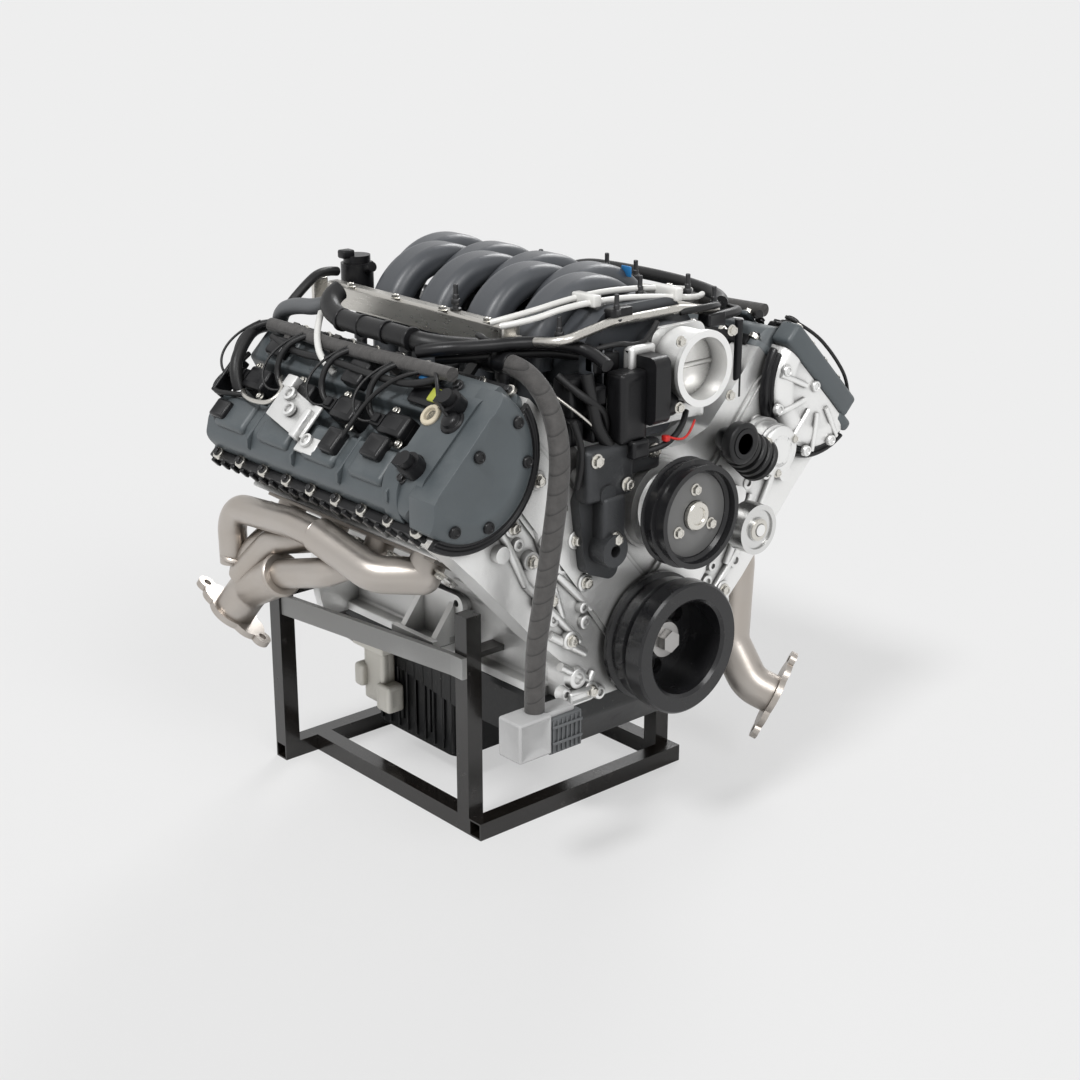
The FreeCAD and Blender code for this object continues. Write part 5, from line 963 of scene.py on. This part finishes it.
# ---------------------------------------------------------------- intake
class ENGINE_OT_intake(bpy.types.Operator):
    """Intake: dark pipe, white lines and their clips, studs, rail bolts, tag and the cap's fittings"""

    bl_idname = "engine.intake"
    bl_label = "Intake lines and studs"

    def execute(self, context):
        tubes(0, (
            ("coolant_pipe", 17, [(-262, -370, 396), (-250, -396, 402), (-210, -426, 404), (-150, -446, 404),
                (-118, -478, 402), (-100, -508, 396), (-104, -540, 384)], "black_plastic"),
            ("coolant_pipe_low", 14, [(-240, -376, 384), (-204, -412, 388), (-150, -430, 388), (-104, -466, 388),
                (-80, -500, 380)], "black_plastic"),
            ("white_line_front", 8, [(-176, -424, 424), (-150, -452, 432), (-110, -466, 444), (-60, -470, 446),
                (0, -472, 444), (60, -486, 438), (110, -484, 430), (150, -452, 424)], "white_pipe"),
            ("white_line_rear", 8, [(-172, -400, 424), (-140, -430, 436), (-80, -444, 448), (-20, -444, 450),
                (50, -450, 446), (110, -460, 438), (150, -430, 426)], "white_pipe"),
            ("vacuum_hose", 9, [(60, -500, 420), (90, -512, 424), (130, -500, 420), (160, -470, 408),
                (196, -440, 402), (230, -420, 400)]),
            ("plenum_wire", 7, [(-96, -506, 396), (-70, -520, 404), (-40, -522, 396), (-20, -524, 402),
                (0, -520, 420)]),
            ("front_conduit", 13, [(110, -500, 404), (150, -496, 404), (196, -478, 400), (220, -440, 392),
                (236, -410, 388)]),
            ("tall_tube", 11, [(168, -503, 292), (168, -503, 340), (168, -503, 396)], "black_plastic"),
            ("can_hose", 13, [(-140, -30, 430), (-168, -36, 436), (-200, -44, 424), (-228, -44, 400)]),
            ("rail_hose", 8, [(-172, -376, 404), (-186, -396, 410), (-190, -420, 404), (-160, -440, 398)]),
        ))
        self.studs()
        blocks(0, (
            ("pipe_clip", (-70, -478, 440), (-56, -436, 455), 2.5, "white_pipe"),
            ("pipe_clip_left", (60, -492, 432), (74, -444, 449), 2.5, "white_pipe"),
            ("map_sensor", (-60, -500, 426), (-22, -484, 440), 3),
            ("plenum_connector", (100, -514, 396), (132, -492, 414), 3),
            ("can_nozzle", (-132, -36, 446), (-112, -20, 458), 3),
            ("tag", (72, -396, 448), (74, -378, 462), 0.6, "tag_blue"),
            ("rail_end_front", (-172, -424, 384), (-148, -414, 422), 2, "rail_steel"),
            ("rail_end_rear", (-172, -20, 384), (-148, -12, 422), 2, "rail_steel"),
        ))
        bolts("rail_bolts", 0, [(x, y, 420) for x in (-160, 160) for y in (-380, -290, -190, -90)], Z, 9)
        ribs = [block("rib", (-104 + i * 17, -514, 300), (-101 + i * 17, -487, 398), 1.2, 1) for i in range(3)]
        assemble("plenum_ribs", ribs, "intake_plastic")
        return {"FINISHED"}

    def studs(self):
        """Tall studs with a hexagon foot and a reduced, threaded end."""
        stud = turned("stud", [(7.5, 0), (7.5, 3), (4.2, 3.4), (4.2, 20), (3.2, 21), (3.2, 33), (2.4, 34)], 12, 0.3)
        collar = turned("collar", [(6.2, 8), (6.2, 14), (5.4, 15)], 6, 0.3)
        places = ((47, -246, 434), (126, -350, 424), (35, -452, 430), (150, -474, 404), (-48, -496, 424),
                  (104, -470, 426), (-120, -470, 402), (148, -270, 420), (-146, -300, 420))
        assemble("studs", copies(joined("stud", [stud, collar]), [(spot(0, place), Z) for place in places]),
                 "bolt_black")


# ---------------------------------------------------------------- front
class ENGINE_OT_front(bpy.types.Operator):
    """Front: throttle web and motor cover, dark bracket, bosses, ribs, coolant steps and bolts"""

    bl_idname = "engine.front"
    bl_label = "Front castings"

    def execute(self, context):
        blocks(0, (
            ("motor_cover", (-90, -552, 282), (-44, -520, 372), 6),
            ("motor_socket", (-76, -560, 262), (-48, -528, 286), 4),
            ("throttle_web", (-58, -534, 296), (-14, -517, 398), 5, "cast_aluminium"),
            ("throttle_foot", (-40, -530, 286), (80, -516, 312), 4, "cast_aluminium"),
            ("dark_bracket", (-142, -548, 214), (-62, -521, 284), 8, "bracket_dark"),
            ("dark_bracket_arm", (-70, -540, 236), (-8, -521, 276), 6, "bracket_dark"),
            ("dark_bracket_foot", (-118, -552, 150), (-78, -521, 220), 7, "bracket_dark"),
            ("red_clip", (-26, -566, 278), (-18, -556, 286), 2, "clip_red"),
            ("valve_block", (-142, -514, 312), (-96, -480, 366), 6),
            ("valve_cap", (-118, -528, 330), (-92, -500, 356), 4),
            ("solenoid", (-150, -522, 284), (-124, -496, 318), 5),
            ("loom_box", (-104, -516, 366), (-58, -496, 392), 5),
            ("mid_socket", (-118, -530, 286), (-98, -508, 312), 3),
            ("pale_flange", (-150, -122, -118), (-110, -48, -106), 3, "off_white"),
            ("pale_web", (-136, -104, -206), (-112, -56, -112), 5, "off_white"),
            ("pale_foot", (-142, -124, -212), (-112, -92, -170), 5, "off_white"),
            ("pale_lug", (-146, -64, -186), (-116, -44, -150), 6, "off_white"),
            ("throttle_socket", (84, -548, 330), (102, -524, 356), 3),
        ))
        tubes(0, (
            ("throttle_wire", 3.2, [(-20, -560, 284), (-4, -568, 276), (16, -566, 282), (30, -560, 296)], "clip_red"),
            ("throttle_loom", 8, [(-60, -548, 268), (-30, -560, 268), (10, -560, 290), (26, -548, 306)]),
            ("front_hose", 16, [(-120, -520, 372), (-118, -530, 330), (-112, -534, 300), (-96, -536, 280)]),
            ("valve_hose", 10, [(-150, -500, 372), (-138, -524, 352), (-116, -534, 336), (-96, -530, 318),
                (-90, -524, 296)]),
            ("valve_wire", 4, [(-158, -506, 348), (-136, -526, 326), (-110, -534, 300), (-92, -534, 284),
                (-80, -540, 276)], "rail_steel"),
            ("low_loom", 9, [(-150, -528, 320), (-140, -534, 292), (-146, -540, 262), (-150, -536, 236)]),
        ))
        self.ribs()
        self.pads()
        self.coolant()
        spots = ((-123, 240), (-133, 161), (-175, 91), (-140, 27), (-105, -52), (-75, 181), (-206, 150),
                 (-236, 200), (-160, 210), (-196, 252), (-116, 100))
        spots += tuple((-x, z) for x, z in spots[2:] if x != -206)
        bosses = copies(turned("boss", [(13, -4), (12, 8), (10.6, 9)], 24),
                        [(spot(0, (x, FRONT_FACE, z)), -Y) for x, z in spots])
        assemble("cover_bosses", bosses, "cast_aluminium")
        bolts("cover_bolts", 0, [(x, FRONT_FACE - 9, z) for x, z in spots], -Y, 12)
        bolts("bracket_bolts", 0, [(-128, -548, 270), (-76, -548, 230), (-98, -552, 164), (-22, -540, 262)], -Y, 13)
        bolts("throttle_bolts", 0, [(-12, -572, 322), (80, -572, 322), (-12, -572, 406), (80, -572, 406)], -Y)
        return {"FINISHED"}

    def ribs(self):
        """Stiffening ribs cast on the front cover."""
        rows = (((-120, 20), (-210, 118)), ((-104, -40), (-152, -8)), ((-150, 60), (-196, 190)),
                ((-96, 92), (-140, 214)), ((-210, 118), (-250, 196)), ((-120, 130), (-80, 196)),
                ((-96, -30), (-120, -62)), ((-110, 0), (-170, 40)), ((-100, 60), (-160, 120)),
                ((-178, 92), (-150, 176)), ((-236, 200), (-196, 250)), ((120, 20), (210, 118)),
                ((104, -40), (152, -8)), ((150, 60), (196, 150)), ((210, 118), (250, 196)))
        parts = []
        for (x0, z0), (x1, z1) in rows:
            route = ((x0, FRONT_FACE, z0), ((x0 + x1) / 2, FRONT_FACE - 2, (z0 + z1) / 2), (x1, FRONT_FACE, z1))
            parts.append(pipe("rib", [spot(0, point) for point in route], 12 * MM, 3, 4))
        assemble("front_ribs", parts, "cast_aluminium")

    def pads(self):
        """Cast pads, blind bosses and plugs low on both sides of the front cover."""
        parts = []
        for x, z, radius, height in ((-112, 44, 9, 6), (-126, -30, 14, 8), (-148, -46, 8, 9), (-166, 62, 10, 6),
                                     (-150, 130, 13, 5), (-184, 170, 9, 8), (-118, 66, 7, 9), (-98, 118, 8, 7),
                                     (-224, 174, 8, 6), (-88, -60, 9, 9)):
            for side in (LEFT, RIGHT):
                parts.append(turned_at("pad", (-side * x, FRONT_FACE + 1, z), -Y, [
                    (radius + 2, -3), (radius, height), (radius - 1.5, height + 1), (radius * 0.55, height + 1),
                    (radius * 0.45, height - 2)]))
        for inner, outer, front, low, high in ((104, 146, -522, -64, -44), (172, 200, -518, 84, 98),
                                               (108, 132, -518, 178, 206)):
            for side in (RIGHT, LEFT):
                near, far = sorted((side * inner, side * outer))
                pad = block("pad", (near, front, low), (far, FRONT_FACE + 3, high), 4, 3)
                parts.append(inset_side(pad, -Y, 1.4e-4, 3, -2.5))
        assemble("front_pads", parts, "cast_aluminium")

    def coolant(self):
        """Stepped rubber sleeve between the outlet's mouth and the bright housing, with the mouth's rim and the
        housing's cap and bolts.
        """
        steps = [(24, 0)]
        for i in range(5):
            step = 26 + i * 1.2
            steps += [(step, 3 + i * 12), (step, 9 + i * 12), (step - 4, 10.5 + i * 12), (step - 4, 13 + i * 12)]
        dress(turned_at("coolant_sleeve", (120, -548, 246), (0.82, 0, -0.57), steps, 36), "hose_rubber")
        x, z = MOUTH_AXIS
        rings("coolant_mouth", "hose_rubber", 0, (x, -566, z), -Y,
              [(27, -8), (28, 2), (28, 7), (25, 9), (20, 9), (18, 2)], 40)
        rings("coolant_mouth_rim", "bright_steel", 0, (x, -574, z), -Y,
              [(19.6, 0), (20, 1), (19, 1.6), (17.4, 1.2), (17, 0)], 40, 0)
        x, z = HOUSING_AXIS
        rings("housing_cap", "cast_aluminium", 0, (x, -556, z), -Y, [(34, 0), (34, 3), (30, 5), (16, 5), (14, 3)])
        places = [(x + 30 * math.cos(a), -558, z + 30 * math.sin(a)) for a in (0.4, 2.5, 4.6)]
        bolts("housing_bolts", 0, places, -Y, 9)


class ENGINE_OT_drives(bpy.types.Operator):
    """Pump pulley's face, hub ring and bolts, and the idler's cap"""

    bl_idname = "engine.drives"
    bl_label = "Pulleys"

    def execute(self, context):
        x, z = PUMP_AXIS
        face = turned_at("pulley_face", (x, -587.6, z), -Y, [(55, 0), (55, 0.8), (54, 1.4), (20, 1.4)], 64)
        dress(face, "pulley_grey", "pump_rotor", "rail_steel")
        hub_ring = turned_at("pulley_hub_ring", (x, -588, z), -Y, [
            (19, 0), (19, 7.6), (17.5, 9), (12, 9), (11, 7), (7, 7)], 40)
        dress(hub_ring, "bolt_zinc", "pump_rotor")
        around = [math.radians(turn) for turn in (90, 210, 330)]
        heads = copies(flange_bolt("pulley_bolt", 11, 7), [
            (spot(0, (x + 34 * math.cos(a), -589, z + 34 * math.sin(a))), -Y) for a in around])
        dress(joined("pulley_bolts", heads), "bolt_zinc", "pump_rotor")
        x, z = IDLER_AXIS
        cap = turned_at("idler_cap", (x, -588, z), -Y, [(15, 0), (15, 1.6), (13.5, 2.6), (9, 2.6), (8, 1.2)], 36)
        dress(cap, "bolt_zinc", "idler")
        return {"FINISHED"}


# ---------------------------------------------------------------- sides and underneath
class ENGINE_OT_sides(bpy.types.Operator):
    """Head ribs and bosses, exhaust nuts, weld rings, block plugs, pan screws and pan ribs"""

    bl_idname = "engine.sides"
    bl_label = "Sides and underneath"

    def execute(self, context):
        for word, side in SIDES.items():
            self.head(word, side)
        self.exhaust()
        self.pan()
        return {"FINISHED"}

    def head(self, word, side):
        """Ribs, plugs, exhaust nuts and core plugs of one head and its block bank."""
        parts = []
        for y in CYLINDERS[side]:
            parts += [block("rib", (93, y + near, low), (out, y + far, 392), 1.6) for near, far, low, out in (
                (-52, -47, 312, 101), (-24, -20, 330, 100), (20, 24, 330, 100))]
            parts.append(turned_at("plug", (95, y, 352), X, [(13, -3), (13, 4), (11.5, 5), (9.5, 5), (9, 2.5)], 28))
        parts.append(block("rib", (93, CYLINDERS[side][3] - 50, 318), (102, HEAD_REAR[side] - 4, 324), 1.8))
        assemble("head_ribs_" + word, parts, "cast_aluminium", side)
        bolts("exhaust_nuts_" + word, side, [(107, y + dy, 288) for y in CYLINDERS[side] for dy in (-33, 33)], X, 12)
        plugs = copies(turned("core_plug", [(19, -2), (19, 2.5), (17.5, 4), (15.5, 4), (14.5, 1)], 32),
                       [(bank_point(side, 80, y, 160), bank_way(side, 1, 0)) for y in CYLINDERS[side]])
        assemble("core_plugs_" + word, plugs, "bright_steel")

    def exhaust(self):
        """Weld beads where the tubes join."""
        for i, (at, way, radius) in enumerate((
                ((-334, -245, 143), (-0.03, 0.9, 0.05), 20.5), ((-332, -150, 62), (0, 1, -0.5), 29.5),
                ((-334, -40, 60), (0, 0.2, -1), 20.5), ((306, -376, 84), (0, -0.5, -1), 30))):
            rings("weld_%d" % i, "stainless", 0, at, way, [
                (radius - 1, -4), (radius + 0.8, -2.2), (radius + 1.8, 0), (radius + 0.8, 2.2), (radius - 1, 4)],
                40, 0)

    def pan(self):
        """Screws of the pan's flange, and its upright ribs."""
        screws = [(x, y, -78) for x in (-138, 138) for y in range(-480, -30, 50)]
        bolts("pan_screws", 0, screws, -Z, 9, "bolt_black")
        ribs = []
        for side in (LEFT, RIGHT):
            near, far = sorted((side * 106, side * 112))
            for y in range(-232, -43, 21):
                ribs.append(block("rib", (near, y - 2, -244), (far, y + 2, -92), 1.2, 1))
        assemble("pan_ribs", ribs, "pan_black")


# ---------------------------------------------------------------- rear
class ENGINE_OT_rear(bpy.types.Operator):
    """Rear: head end plugs, ribs and bolts, plenum end ribs and the flexplate's bolts"""

    bl_idname = "engine.rear"
    bl_label = "Rear end"

    def execute(self, context):
        for word, side in SIDES.items():
            self.head_end(word, side)
        ribs = [block("rib", (-46, -53, z), (46, -45, z + 4), 1.4) for z in (318, 346, 374)]
        ribs += [block("rib", (x, -53, 300), (x + 4, -45, 396), 1.4) for x in (-34, -2, 30)]
        assemble("plenum_end_ribs", ribs, "intake_plastic")
        plate = turned_at("flexplate_ring", (0, 2, 0), Y, [(46, 0), (46, 2), (44, 3), (24, 3), (22, 1)], 64)
        dress(plate, "forged_steel", "crank")
        around = [math.radians(45 * i) for i in range(8)]
        heads = copies(flange_bolt("bolt", 13, 7), [
            (spot(0, (35 * math.cos(a), 5, 35 * math.sin(a))), Y) for a in around])
        dress(joined("flexplate_bolts", heads), "bolt_zinc", "crank", "rail_steel")
        return {"FINISHED"}

    def head_end(self, word, side):
        """Plugs, ribs and bolts on the rear face of one head."""
        y = HEAD_REAR[side]
        small = ((-74, 300, 10), (70, 262, 10), (-64, 252, 9), (34, 250, 9))
        parts = []
        for out, rise, radius in ((-45, 366, 22), (45, 366, 22), (0, 300, 19)) + small:
            parts.append(turned_at("plug", (out, y, rise), Y, [
                (radius + 2, -2), (radius + 1, 4), (radius - 2, 5), (radius - 3.5, 5), (radius - 4.5, 1.5)], 32))
        for low, high in (((-92, y - 3, 334), (88, y + 4, 339)), ((-3, y - 3, 240), (3, y + 4, 282)),
                          ((-3, y - 3, 318), (3, y + 4, 388)), ((-90, y - 3, 268), (-24, y + 3, 272)),
                          ((22, y - 3, 284), (88, y + 3, 288))):
            parts.append(block("rib", low, high, 1.5))
        assemble("head_end_" + word, parts, "cast_aluminium", side)
        heads = copies(flange_bolt("bolt", 10, 6), [
            (bank_point(side, out, y + 5, rise), Y) for out, rise, _ in small])
        assemble("head_end_bolts_" + word, heads, "bolt_zinc")


PIECES = (ENGINE_OT_finishes, ENGINE_OT_stage, ENGINE_OT_harness, ENGINE_OT_covers, ENGINE_OT_coils,
          ENGINE_OT_right_top, ENGINE_OT_left_top, ENGINE_OT_intake, ENGINE_OT_front, ENGINE_OT_drives,
          ENGINE_OT_sides, ENGINE_OT_rear)


# ---------------------------------------------------------------- panel and registration
class ENGINE_PT_pieces(bpy.types.Panel):
    """Settings and pieces of the engine's dressing"""

    bl_idname = "ENGINE_PT_pieces"
    bl_label = "Engine dressing"
    bl_space_type = "VIEW_3D"
    bl_region_type = "UI"
    bl_category = "Engine"

    def draw(self, context):
        for group in (context.scene.engine_studio, context.scene.engine_finishes, context.scene.engine_details):
            for name in group.__annotations__:
                self.layout.prop(group, name)
        for piece in PIECES:
            self.layout.operator(piece.bl_idname)


GROUPS = (("engine_studio", ENGINE_PG_studio), ("engine_finishes", ENGINE_PG_finishes),
          ("engine_details", ENGINE_PG_details))


def register():
    for name, group in GROUPS:
        bpy.utils.register_class(group)
        setattr(bpy.types.Scene, name, bpy.props.PointerProperty(type=group))
    for kind in PIECES + (ENGINE_PT_pieces,):
        bpy.utils.register_class(kind)


def unregister():
    for kind in (ENGINE_PT_pieces,) + PIECES[::-1]:
        bpy.utils.unregister_class(kind)
    for name, group in GROUPS:
        delattr(bpy.types.Scene, name)
        bpy.utils.unregister_class(group)


def main():
    register()
    for piece in PIECES:
        group, name = piece.bl_idname.split(".")
        getattr(getattr(bpy.ops, group), name)()
    start_clean()


if __name__ == "__main__":
    main()
